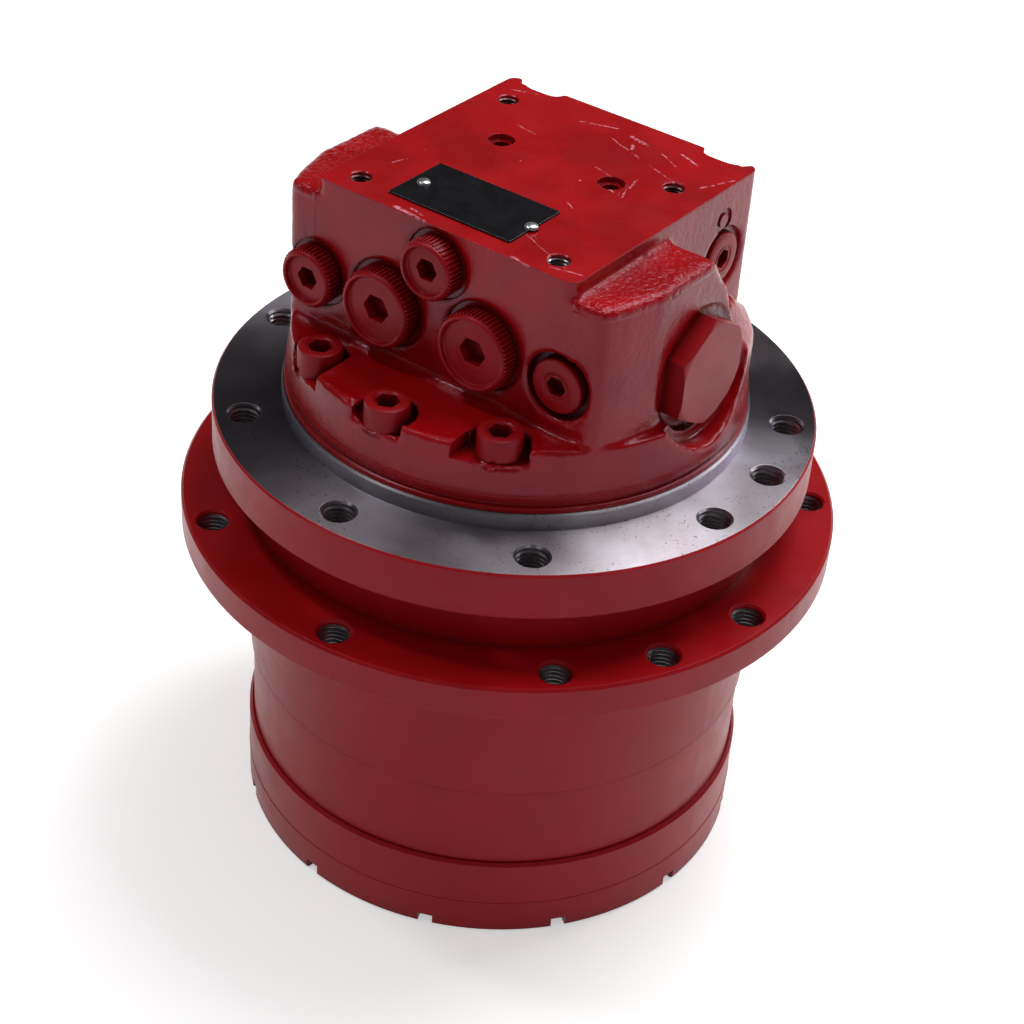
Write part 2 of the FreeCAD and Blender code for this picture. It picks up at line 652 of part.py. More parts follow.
# Motor: shaft, cylinder block with pistons, swash plate and valve plate
rear_needle_top = block_spigot_bottom + 17.0
shaft_top = rear_needle_top + 3.0
spline_radius = 17.0
spline_teeth = 8
spline_key = box(shaft_radius - 3, spline_radius, -2.4, 2.4, cylinder_block_bottom + 4,
                 cylinder_block_top - 12)
shaft = cylinder(shaft_radius, carrier_2_bottom + 4, shaft_top)
shaft = shaft.cut(cylinder(shank_radius + running, carrier_2_bottom + 3, coupling_top))
shaft_socket = box(-shank_flat - bearing_fit, shank_flat + bearing_fit, -shank_flat - bearing_fit,
                   shank_flat + bearing_fit, coupling_top - 1, shank_top + 1)
shank_limit = cylinder(shank_radius + bearing_fit, coupling_top - 1, shank_top + 1)
shaft = shaft.cut(shaft_socket.common(shank_limit))
shaft = shaft.multiFuse(around(spline_key, spline_teeth)).removeSplitter()
save("motor_shaft", shaft)
seal_lip = turned([(shaft_radius + bearing_fit, nose_bottom + 1), (seal_bore, nose_bottom + 1),
                   (seal_bore, nose_bottom + 7.5), (seal_bore - 2, nose_bottom + 7.5),
                   (seal_bore - 2, nose_bottom + 3), (shaft_radius + 3, nose_bottom + 3),
                   (shaft_radius + bearing_fit, nose_bottom + 5)])
save("shaft_seal", seal_lip)


def needle_set(bottom, top):
    """Caged needle rollers between the shaft and a round bore."""
    middle = shaft_radius + needle_radius
    cage = tube(middle + 1.2, middle - 1.2, bottom + 0.5, top - 0.5)
    gap = cylinder(needle_radius + 0.3, bottom + 1.6, top - 1.6, middle)
    cage = cage.cut(Part.makeCompound(around(gap, needle_count)))
    needle = cylinder(needle_radius - bearing_fit, bottom + 2, top - 2, middle)
    return [cage] + around(needle, needle_count)


save_all("front_needle_set", needle_set(nose_bottom + 9, swash_floor))
save_all("rear_needle_set", needle_set(block_spigot_bottom + 1, rear_needle_top))

swash_top = swash_floor + swash_thickness
save("swash_plate", tube(swash_radius, shaft_radius + 3, swash_floor, swash_top))
shoe_radius = 9.0
shoe_top = swash_top + running + 2.5
piston = turned([
    (0, swash_top + running), (shoe_radius, swash_top + running), (shoe_radius, shoe_top),
    (6.5, shoe_top), (4.0, shoe_top + 8), (piston_radius, shoe_top + 12),
    (piston_radius, cylinder_block_bottom + 24), (0, cylinder_block_bottom + 24)])
piston.translate(V(piston_circle, 0, 0))
save_all("pistons", around(piston, piston_count))
retainer = tube(piston_circle + 10.5, shaft_radius + 2.2, shoe_top + running,
                shoe_top + running + 2.4)
shoe_neck = cylinder(6.5 + running, shoe_top - 1, shoe_top + 4, piston_circle)
save("retainer_plate", retainer.cut(Part.makeCompound(around(shoe_neck, piston_count))))

lug_reach = cylinder_block_radius + 4.0
disc_bore = cylinder_block_radius + 0.5
block_tooth = box(cylinder_block_radius - 2, lug_reach, -4, 4, brake_floor, brake_stack_top)
cylinder_block = tube(cylinder_block_radius, shaft_radius + bearing_fit,
                      cylinder_block_bottom, cylinder_block_top)
cylinder_block = cylinder_block.multiFuse(around(block_tooth, spline_teeth)).removeSplitter()
piston_bore = cylinder(piston_radius + bearing_fit, cylinder_block_bottom - 1,
                       cylinder_block_top - 10, piston_circle)
port_slot = cylinder(4.0, cylinder_block_top - 12, cylinder_block_top + 1, piston_circle)
key_way = box(shaft_radius - 3, spline_radius + bearing_fit, -2.4 - bearing_fit,
              2.4 + bearing_fit, cylinder_block_bottom - 1, cylinder_block_top - 11)
for cutter in (piston_bore, port_slot):
    cylinder_block = cylinder_block.cut(Part.makeCompound(around(cutter, piston_count)))
cylinder_block = cylinder_block.cut(Part.makeCompound(around(key_way, spline_teeth)))
save("cylinder_block", cylinder_block)

valve_plate = tube(cylinder_block_radius, shaft_radius + 3, cylinder_block_top + bearing_fit,
                   block_spigot_bottom)
kidney = tube(piston_circle + 3.5, piston_circle - 3.5, cylinder_block_top - 1,
              block_spigot_bottom + 1)
far_side = cylinder_block_radius + 2
for side in (-1, 1):
    near, far = sorted((side * 6.0, side * far_side))
    half = box(near, far, -far_side, far_side, cylinder_block_top - 2, block_spigot_bottom + 2)
    valve_plate = valve_plate.cut(kidney.common(half))
save("valve_plate", valve_plate)

# Parking brake: plates keyed to the casing, discs keyed to the cylinder block
plates, discs = [], []
plate_lug = box(brake_plate_radius - 3, brake_lug_radius, -lug_half, lug_half, 0,
                brake_plate_thickness)
disc_notch = box(cylinder_block_radius - 2, lug_reach + running, -4 - running, 4 + running,
                 -1, brake_disc_thickness + 1)
plate = tube(brake_plate_radius, motor_bore + 1.0, 0, brake_plate_thickness)
plate = fused([plate] + around(plate_lug, brake_lug_count))
disc = tube(brake_plate_radius - 2, disc_bore, 0, brake_disc_thickness)
disc = disc.cut(Part.makeCompound(around(disc_notch, spline_teeth)))
for i in range(brake_disc_count + 1):
    level = brake_floor - 1 + i * brake_stack_pitch
    plates.append(plate.translated(V(0, 0, level)))
    if i < brake_disc_count:
        discs.append(disc.translated(V(0, 0, level + brake_plate_thickness + running)))
save_all("brake_separator_plates", plates)
save_all("brake_friction_discs", discs)
brake_piston_bottom = brake_stack_top - 1 + running
brake_piston_top = brake_step + 13.0
save("brake_piston", turned([
    (motor_bore + 2, brake_piston_bottom), (brake_plate_radius, brake_piston_bottom),
    (brake_plate_radius, brake_step + 2), (brake_piston_radius, brake_step + 2),
    (brake_piston_radius, brake_piston_top), (motor_bore + 2, brake_piston_top)]))
spring_inner = motor_bore + 4.0
spring_outer = brake_piston_radius - 1.0
spring_room = (block_spigot_bottom - brake_piston_top) / 2
spring_leaf = 1.4
springs = []
for low, first, second in ((0.0, spring_outer, spring_inner),
                           (spring_room, spring_inner, spring_outer)):
    base = brake_piston_top + low
    rise = spring_room - spring_leaf
    springs.append(turned([(first, base), (second, base + rise),
                           (second, base + rise + spring_leaf), (first, base + spring_leaf)]))
save_all("brake_springs", springs)

# Valve block: round base, machined top, rough shoulders, spool bore across
lip_radius = base_radius
shelf_radius = base_radius - 2.5
block = turned([
    (0, block_spigot_bottom), (brake_piston_radius, block_spigot_bottom),
    (brake_piston_radius, casing_top), (lip_radius, casing_top), (lip_radius, casing_top + 2.0),
    (lip_radius - 1.4, casing_top + 2.6), (lip_radius - 1.4, casing_top + 3.8),
    (lip_radius - 0.3, casing_top + 4.4), (lip_radius - 0.3, casing_top + 6.4),
    (shelf_radius, ledge_height), (0, ledge_height)])
left_wall, right_wall = block_middle - side_wall, block_middle + side_wall
top_plan = [(left_wall, front_wall), (right_wall, front_wall), (right_wall, back_wall),
            (left_wall, back_wall)]
upper = rounded_prism(top_plan, corner_radius, ledge_height - 5, block_top)
lug_tail = 30.0
lug_plan = [(front_corner, front_wall), (front_corner + 4, front_wall + 10),
            (lug_side, front_wall + 26), (lug_side, lug_tail)]
lug_plan += [(-x, y) for x, y in reversed(lug_plan)]
lug_plan = [(block_middle + x, y) for x, y in lug_plan]
lugs = rounded_prism(lug_plan, corner_radius, ledge_height - 15, lug_top)
lug_foot = ledge_height - 19.0
lug_rear = [(front_wall - 1, lug_foot), (front_wall - 1, lug_top), (lug_back, lug_top),
            (lug_back + 10, lug_top - 15.5), (lug_back + 17, lug_top - 32.5), (lug_tail, lug_foot)]
lug_start = V(-lug_side - 5, 0, 0)
lug_side_view = rounded_outline([lug_start + V(0, y, z) for y, z in lug_rear], corner_radius)
lugs = lugs.common(lug_side_view.extrude(V(2 * lug_side + 10, 0, 0)))
wing_top = ledge_height + 27.0
wing = turned([(0, ledge_height - 5), (shelf_radius + 1, ledge_height - 5),
               (shelf_radius + 1, wing_top - 18), (lug_side, wing_top), (0, wing_top)])
wing = wing.common(box(-lip_radius, lip_radius, -18.0, 46.0, ledge_height - 6, wing_top + 1))
block = fused([block, upper, lugs, wing])

# Screw pockets open to the outside of the base
block_screws = []
pocket_radius = screw_head_radius + 2.4
for angle in screw_angles:
    x, y = polar(screw_circle, angle)
    pocket = cylinder(pocket_radius, screw_seat, block_top + 1, x, y)
    if angle > 0:
        pocket = cylinder(screw_head_radius + 0.5, screw_seat, block_top + 1, x, y)
    gate = box(0, 20, -pocket_radius, pocket_radius, screw_seat, block_top + 1)
    gate.rotate(V(0, 0, 0), Z_AXIS, angle)
    gate.translate(V(x, y, 0))
    hole = cylinder(screw_radius + 0.5, block_spigot_bottom - 1, screw_seat + 1, x, y)
    block = block.cut(pocket.multiFuse([gate, hole]))
    block_screws.append(socket_screw(screw_radius, screw_head_radius, screw_head_height,
                                     screw_seat - screw_foot, x, y, screw_seat))
save_all("block_screws", block_screws)


def coil_spring(radius, half_wire, height, turns):
    """Square-wire compression spring along +Z, from flat steps round the helix."""
    steps = 10
    sections = []
    for i in range(turns * steps + 1):
        angle = 2 * math.pi * i / steps
        level = half_wire + (height - 2 * half_wire) * i / (turns * steps)
        corners = []
        for dr, dz in ((-1, -1), (1, -1), (1, 1), (-1, 1)):
            r = radius + dr * half_wire
            corners.append(V(r * math.cos(angle), r * math.sin(angle), level + dz * half_wire))
        sections.append(Part.makePolygon(corners + corners[:1]))
    return Part.makeLoft(sections, True, True)


# Spool bore, its two hexagon caps and centring springs
cap_seat = lug_side - 1.5
cap_bore = 17.0
cap_bore_depth = 22.0
spool_end = 46.0
cap_reach = spool_cap_flats / 2 / math.cos(math.pi / 6)
cap_pocket_radius = cap_reach + 2.0
cap_scoop_radius = cap_reach + 6.0
spool_bore = Part.makeCylinder(spool_radius + bearing_fit, 2 * base_radius + 4,
                               V(-base_radius - 2, 0, spool_height), X_AXIS)
block = block.cut(spool_bore)
for side in (-1, 1):
    direction = V(side, 0, 0)
    seat_point = V(block_middle + side * cap_seat, 0, spool_height)
    counterbore = Part.makeCylinder(cap_bore, cap_bore_depth + 1,
                                    seat_point - direction * cap_bore_depth, direction)
    pocket = Part.makeCylinder(cap_pocket_radius, 40, seat_point, direction)
    scoop = Part.makeCylinder(cap_scoop_radius, 40, seat_point + direction * 4.0, direction)
    block = block.cut(counterbore.multiFuse([pocket, scoop]))
    chamfer = 1.2
    limit = turned([(0, -1), (cap_reach + 1, -1), (cap_reach + 0.2, spool_cap_height - chamfer),
                    (cap_reach - 1.8, spool_cap_height), (0, spool_cap_height)])
    head = hexagon(spool_cap_flats, 0, spool_cap_height).common(limit)
    cap = head.fuse(tube(cap_bore, 12.0, -cap_bore_depth, 0.5))
    save("spool_cap_right" if side > 0 else "spool_cap_left", toward(cap, direction, seat_point))
    coil_start = spool_end + 0.5
    coil_room = cap_seat - coil_start
    coil = toward(coil_spring(8.5, 1.1, coil_room, 5), direction,
                  V(block_middle + side * coil_start, 0, spool_height))
    save("spool_spring_right" if side > 0 else "spool_spring_left", coil)
spool = turned([
    (0, -spool_end), (10.5, -spool_end), (10.5, -38), (spool_radius, -38), (spool_radius, -22),
    (8.5, -20), (8.5, -12), (spool_radius, -10), (spool_radius, 10), (8.5, 12), (8.5, 20),
    (spool_radius, 22), (spool_radius, 38), (10.5, 38), (10.5, spool_end), (0, spool_end)])
save("counterbalance_spool", toward(spool, X_AXIS, V(block_middle, 0, spool_height)))

# Front plugs: knurled caps in round facings, and one flush plug
facing_depth = 1.5
cap_face = front_wall + facing_depth - cap_projection - facing_depth


def knurled_cap(radius, socket_flats):
    """Cup-faced cap with a hexagon socket and a threaded stem, drawn along +Z."""
    rim = 2.4
    dish = 1.8
    height = cap_projection + facing_depth
    cap = turned([
        (0, -12), (radius * 0.62, -12), (radius * 0.62, 0), (radius, 0), (radius, height - 0.8),
        (radius - 0.8, height), (radius - rim, height), (radius - rim - 0.8, height - dish),
        (0, height - dish)])
    return cap.cut(hexagon(socket_flats, height - dish - 5.5, height + 1))


small_caps = [(-56.8, plug_row), (pattern_x, block_top - 14.8)]
large_caps = [(-24.0, plug_row), (19.8, plug_row)]
outward = V(0, -1, 0)
facing_floor = front_wall + facing_depth
for name, radius, flats, places in (("small_relief_caps", small_cap_radius, 8.0, small_caps),
                                    ("large_relief_caps", large_cap_radius, 10.0, large_caps)):
    caps = []
    for x, z in places:
        facing = Part.makeCylinder(radius + 1.8, 30, V(x, facing_floor, z), outward)
        stem = Part.makeCylinder(radius * 0.62, 24, V(x, facing_floor + 23, z), outward)
        block = block.cut(facing).cut(stem)
        caps.append(toward(knurled_cap(radius, flats), outward, V(x, facing_floor, z)))
    save_all(name, caps)
gauge_x, gauge_z = 52.4, plug_row - 3.0
plug_face_radius = 10.6
plug_bore_radius = 13.0
gauge = turned([(0, -14), (7.5, -14), (7.5, 0), (plug_face_radius, 0), (plug_face_radius, 4.2),
                (plug_face_radius - 1, 5.2), (0, 5.2)])
gauge = gauge.cut(hexagon(6.0, -1, 6))
gauge_seat = front_wall + 5.0
block = block.cut(Part.makeCylinder(plug_bore_radius, 30, V(gauge_x, gauge_seat, gauge_z), outward))
block = block.cut(Part.makeCylinder(7.5, 20, V(gauge_x, gauge_seat + 15, gauge_z), outward))
save("gauge_plug", toward(gauge, outward, V(gauge_x, gauge_seat, gauge_z)))
side_plug_y, side_plug_z = 47.0, block_top - 30.5
side_plugs = []
for side in (-1, 1):
    direction = V(side, 0, 0)
    start = V(block_middle + side * (side_wall - 5.0), side_plug_y, side_plug_z)
    block = block.cut(Part.makeCylinder(plug_bore_radius, 30, start, direction))
    block = block.cut(Part.makeCylinder(7.5, 20, start - direction * 15, direction))
    side_plugs.append(toward(gauge, direction, start))
save_all("side_plugs", side_plugs)

# Top face: two service ports down to the spool, four tapped holes, name plate
port_radius = 3.4
seal_seat_radius = 5.2
seal_seat_depth = 2.2
port_y = 17.6
port_floor = spool_height + (block_top - spool_height) / 3
ports = (pattern_x - 25.0, pattern_x + 25.0)
for x in ports:
    block = block.cut(cylinder(port_radius, port_floor, block_top + 1, x, port_y))
    block = block.cut(cylinder(seal_seat_radius, block_top - seal_seat_depth, block_top + 1, x,
                               port_y))
    feed_level = spool_height + 6.0
    feed = cylinder(port_radius - 0.6, feed_level, port_floor + 1, x, port_y)
    feed = feed.fuse(Part.makeCylinder(port_radius - 0.6, port_y, V(x, 0, feed_level), Y_AXIS))
    block = block.cut(feed)
top_hole_radius = 4.0        # M8
top_holes = [(-46.0, -41.0), (42.4, -41.5), (-46.3, 47.5), (41.6, 30.9)]
for x, y in top_holes:
    block = block.cut(tapped(top_hole_radius, 18.0, 0.5, x, y, block_top))
plate_x, plate_y = -4.0, -29.0
rivet_y = -30.5
plate_length, plate_width, plate_thickness = 54.0, 30.0, 0.8
rivet_spread = 24.0
rivet_middle = -1.6
rivets = []
plate = box(plate_x - plate_length / 2, plate_x + plate_length / 2, plate_y - plate_width / 2,
            plate_y + plate_width / 2, block_top, block_top + plate_thickness)
for side in (-1, 1):
    x = rivet_middle + side * rivet_spread
    hole = cylinder(1.3, block_top - 5, block_top + 3, x, rivet_y)
    block = block.cut(hole)
    plate = plate.cut(hole)
    top = block_top + plate_thickness
    rivet = turned([(0, top - 5), (1.3, top - 5), (1.3, top), (2.6, top), (2.2, top + 0.8),
                    (1.0, top + 1.3), (0, top + 1.3)])
    rivet.translate(V(x, rivet_y, 0))
    rivets.append(rivet)
save("data_plate", plate)
save_all("plate_rivets", rivets)

# Bores under the block: rear shaft bearing and the two feeds to the valve plate
block = block.cut(cylinder(needle_race, block_spigot_bottom - 1, rear_needle_top))
block = block.cut(cylinder(shaft_radius + 1, block_spigot_bottom, shaft_top + 2))
for side in (-1, 1):
    block = block.cut(cylinder(4.5, block_spigot_bottom - 1, spool_height,
                               side * piston_circle, 0))
save("valve_block", block)
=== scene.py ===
import json
import logging
import math
from collections.abc import Callable, Sequence
from dataclasses import dataclass, field
from enum import Enum

import bmesh
import bpy
from mathutils import Matrix, Vector


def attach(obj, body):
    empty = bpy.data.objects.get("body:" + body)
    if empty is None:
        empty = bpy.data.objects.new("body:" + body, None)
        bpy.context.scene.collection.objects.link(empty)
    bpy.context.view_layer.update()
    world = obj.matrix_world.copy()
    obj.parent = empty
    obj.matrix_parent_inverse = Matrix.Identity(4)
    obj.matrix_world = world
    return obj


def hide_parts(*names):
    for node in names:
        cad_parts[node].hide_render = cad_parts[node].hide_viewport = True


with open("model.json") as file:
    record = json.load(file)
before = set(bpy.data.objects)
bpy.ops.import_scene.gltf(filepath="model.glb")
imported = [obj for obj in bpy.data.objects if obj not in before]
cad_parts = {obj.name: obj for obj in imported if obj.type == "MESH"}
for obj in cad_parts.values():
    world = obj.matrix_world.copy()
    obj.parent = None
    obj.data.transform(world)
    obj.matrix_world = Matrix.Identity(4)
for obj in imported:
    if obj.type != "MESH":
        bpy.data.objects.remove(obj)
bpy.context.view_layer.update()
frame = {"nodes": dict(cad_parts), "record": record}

MM = 0.001
M12_PITCH = 1.75
M8_PITCH = 1.25
SEEN = ("Is Camera Ray", "Is Glossy Ray", "Is Transmission Ray")
LOG = logging.getLogger("final_drive")
Point = tuple[float, float, float]
Profile = Sequence[tuple[float, float]]
Socket = bpy.types.NodeSocket
Feed = Socket | float | Sequence[float]
Colour = tuple[float, float, float]


class Side(Enum):
    """The two bodies that carry everything seen from outside."""

    MOTOR = "motor_side"
    HUB = "hub_side"


class Facing(Enum):
    """Which way a piece drawn along +Z is turned to face."""

    UP = Matrix.Identity(4)
    FRONT = Matrix.Rotation(math.pi / 2, 4, "X")
    RIGHT = Matrix.Rotation(math.pi / 2, 4, "Y")
    LEFT = Matrix.Rotation(-math.pi / 2, 4, "Y")


# Drawing materials


class Nodes:
    """A node tree while it is being drawn."""

    def __init__(self, tree: bpy.types.NodeTree) -> None:
        """Take up a tree.

        Args:
            tree: the tree.
        """
        self.tree = tree

    def node(self, kind: str, **settings: object) -> bpy.types.Node:
        """Add a node.

        Args:
            kind: Blender's name of the node.
            settings: attributes to set on it.

        Returns:
            The new node.
        """
        made = self.tree.nodes.new(kind)
        for key, value in settings.items():
            setattr(made, key, value)
        return made

    def feed(self, target: Socket, value: Feed) -> None:
        """Link a socket to an input, or set the input's own value.

        Args:
            target: the input.
            value: an output socket, a number or a colour.
        """
        if isinstance(value, bpy.types.NodeSocket):
            self.tree.links.new(value, target)
        else:
            target.default_value = value

    def sums(self, kind: str, *values: Feed) -> Socket:
        """Do one sum on sockets or numbers.

        Args:
            kind: operation of the Math node.
            values: what it reads.

        Returns:
            The result's socket.
        """
        made = self.node("ShaderNodeMath", operation=kind)
        for target, value in zip(made.inputs, values):
            self.feed(target, value)
        return made.outputs[0]

    def times(self, a: Feed, b: Feed) -> Socket:
        """Multiply two sockets or numbers."""
        return self.sums("MULTIPLY", a, b)

    def vectors(self, kind: str, *values: Feed, output: str = "Vector") -> Socket:
        """Do one sum on vectors.

        Args:
            kind: operation of the Vector Math node.
            values: what it reads.
            output: Vector, or Value where the result is a number.

        Returns:
            The result's socket.
        """
        made = self.node("ShaderNodeVectorMath", operation=kind)
        for target, value in zip(made.inputs, values):
            self.feed(target, value)
        return made.outputs[output]

    def step(self, value: Socket, low: float, high: float, first: float = 0.0,
             last: float = 1.0) -> Socket:
        """Change smoothly from one number to another between two values.

        Args:
            value: the socket to read.
            low: where the change starts.
            high: where it ends.
            first: the result up to low.
            last: the result from high on.

        Returns:
            The result's socket.
        """
        made = self.node("ShaderNodeMapRange", interpolation_type="SMOOTHSTEP")
        for target, feed in zip(made.inputs, (value, low, high, first, last)):
            self.feed(target, feed)
        return made.outputs[0]

    def blend(self, share: Feed, first: Feed, second: Feed) -> Socket:
        """Mix two numbers.

        Args:
            share: share of the second number.
            first: first number.
            second: second number.

        Returns:
            The number's socket.
        """
        made = self.node("ShaderNodeMix")
        self.feed(made.inputs[0], share)
        self.feed(made.inputs[2], first)
        self.feed(made.inputs[3], second)
        return made.outputs[0]

    def ray(self, *kinds: str) -> Socket:
        """Return 1 for rays of some kinds.

        Args:
            kinds: outputs of the Light Path node.

        Returns:
            The mask's socket.
        """
        path = self.node("ShaderNodeLightPath")
        found = path.outputs[kinds[0]]
        for kind in kinds[1:]:
            found = self.sums("MAXIMUM", found, path.outputs[kind])
        return found


class Graph(Nodes):
    """Node tree of one material while it is being drawn."""

    def __init__(self, name: str) -> None:
        """Start a material with a lone shader.

        Args:
            name: name of the material.
        """
        self.material = bpy.data.materials.new(name)
        self.material.use_nodes = True
        super().__init__(self.material.node_tree)
        self.tree.nodes.clear()
        self.shader = self.node("ShaderNodeBsdfPrincipled")
        output = self.node("ShaderNodeOutputMaterial")
        self.feed(output.inputs["Surface"], self.shader.outputs["BSDF"])
        self.place = self.node("ShaderNodeTexCoord").outputs["Object"]

    def shade(self, settings: dict[str, Feed]) -> None:
        """Feed several inputs of the shader.

        Args:
            settings: what goes to each input, by the input's name.
        """
        for name, value in settings.items():
            self.feed(self.shader.inputs[name], value)

    def axes(self) -> tuple[Socket, Socket, Socket]:
        """Split the surface point into its coordinates.

        Returns:
            The sockets of x, y and z.
        """
        split = self.node("ShaderNodeSeparateXYZ")
        self.feed(split.inputs[0], self.place)
        return split.outputs[0], split.outputs[1], split.outputs[2]

    def radius(self) -> Socket:
        """Return the surface point's distance from the shaft axis."""
        x, y, _ = self.axes()
        return self.sums("SQRT", self.sums("ADD", self.times(x, x), self.times(y, y)))

    def noise(self, size: float, detail: float = 3.0, stretch: Point = (1, 1, 1),
              warp: float = 0.0, where: Socket | None = None) -> Socket:
        """Return a noise pattern.

        Args:
            size: size of a grain in millimetres.
            detail: number of finer layers.
            stretch: how many times smaller the grain is along each axis.
            warp: distortion of the pattern.
            where: coordinates to read, or the object's own.

        Returns:
            The pattern's socket, from 0 to 1.
        """
        mapping = self.node("ShaderNodeMapping")
        self.feed(mapping.inputs["Vector"], where or self.place)
        self.feed(mapping.inputs["Scale"], stretch)
        made = self.node("ShaderNodeTexNoise")
        self.feed(made.inputs["Vector"], mapping.outputs[0])
        self.feed(made.inputs["Scale"], 1.0 / (size * MM))
        self.feed(made.inputs["Detail"], detail)
        self.feed(made.inputs["Distortion"], warp)
        return made.outputs[0]

    def cells(self, size: float) -> Socket:
        """Return the distance pattern of a soft cell texture.

        Args:
            size: size of a cell in millimetres.

        Returns:
            The distance's socket.
        """
        made = self.node("ShaderNodeTexVoronoi", feature="SMOOTH_F1")
        self.feed(made.inputs["Vector"], self.place)
        self.feed(made.inputs["Scale"], 1.0 / (size * MM))
        return made.outputs[0]

    def mix(self, share: Feed, first: Socket | Colour, second: Socket | Colour) -> Socket:
        """Mix two colours.

        Args:
            share: share of the second colour.
            first: first colour.
            second: second colour.

        Returns:
            The colour's socket.
        """
        made = self.node("ShaderNodeMix", data_type="RGBA")
        self.feed(made.inputs[0], share)
        for target, value in ((made.inputs[6], first), (made.inputs[7], second)):
            self.feed(target, value if isinstance(value, bpy.types.NodeSocket) else (*value, 1.0))
        return made.outputs[2]

    def wobbled(self, size: float, reach: float) -> Socket:
        """Return the surface point, pushed about by noise.

        Args:
            size: size of a wobble in millimetres.
            reach: how far it pushes, in millimetres.

        Returns:
            The coordinates' socket.
        """
        made = self.node("ShaderNodeTexNoise")
        self.feed(made.inputs["Vector"], self.place)
        self.feed(made.inputs["Scale"], 1.0 / (size * MM))
        return self.vectors("MULTIPLY_ADD", made.outputs["Color"], (reach * MM,) * 3, self.place)

    def occlusion(self, reach: float) -> Socket:
        """Return 1 in deep corners and 0 in the open.

        Args:
            reach: how far it looks, in millimetres.

        Returns:
            The mask's socket.
        """
        made = self.node("ShaderNodeAmbientOcclusion", samples=6)
        self.feed(made.inputs["Distance"], reach * MM)
        return self.step(self.sums("SUBTRACT", 1.0, made.outputs["AO"]), 0.2, 0.85)

    def stroke(self, where: Socket, first: tuple[float, float], last: tuple[float, float],
               width: float) -> Socket:
        """Return a mask of one straight mark, seen from above.

        Args:
            where: coordinates to read.
            first: one end in millimetres.
            last: the other end.
            width: half the mark's width.

        Returns:
            The mask's socket, from 0 to 1.
        """
        run = Vector((last[0] - first[0], last[1] - first[1], 0.0)) * MM
        flat = self.vectors("MULTIPLY", where, (1.0, 1.0, 0.0))
        away = self.vectors("SUBTRACT", flat, (first[0] * MM, first[1] * MM, 0.0))
        share = self.node("ShaderNodeClamp")
        self.feed(share.inputs[0], self.vectors("DOT_PRODUCT", away, run / run.length_squared,
                                                output="Value"))
        nearest = self.vectors("MULTIPLY", share.outputs[0], run)
        gap = self.vectors("DISTANCE", away, nearest, output="Value")
        return self.step(gap, width * MM, width * 0.3 * MM)

    def rounded(self, radius: float) -> Socket:
        """Return the normal that the surface would have with its edges rounded.

        Args:
            radius: radius of the rounding in millimetres.

        Returns:
            The normal's socket.
        """
        made = self.node("ShaderNodeBevel", samples=6)
        self.feed(made.inputs["Radius"], radius * MM)
        return made.outputs[0]

    def outer_edge_mask(self, radius: float, reach: float = 0.25) -> Socket:
        """Return a mask of outer edges, from how far a rounded normal leaves the true one.

        Args:
            radius: width of the edge in millimetres.
            reach: turn of the normal at which the mask is full.

        Returns:
            The mask's socket, from 0 to 1.
        """
        normal = self.node("ShaderNodeNewGeometry").outputs["Normal"]
        same = self.vectors("DOT_PRODUCT", self.rounded(radius), normal, output="Value")
        return self.step(self.sums("SUBTRACT", 1.0, same), 0.01, reach)

    def relief(self, heights: Sequence[tuple[Socket, float]], edge: float) -> None:
        """Give the shader its bumps, one over the other.

        Args:
            heights: each pattern with its depth in millimetres.
            edge: radius in millimetres by which edges look rounded.
        """
        normal = self.rounded(edge)
        for height, depth in heights:
            bump = self.node("ShaderNodeBump")
            for name, value in (("Strength", 1.0), ("Distance", depth * MM), ("Height", height),
                                ("Normal", normal)):
                self.feed(bump.inputs[name], value)
            normal = bump.outputs[0]
        self.shade({"Normal": normal})


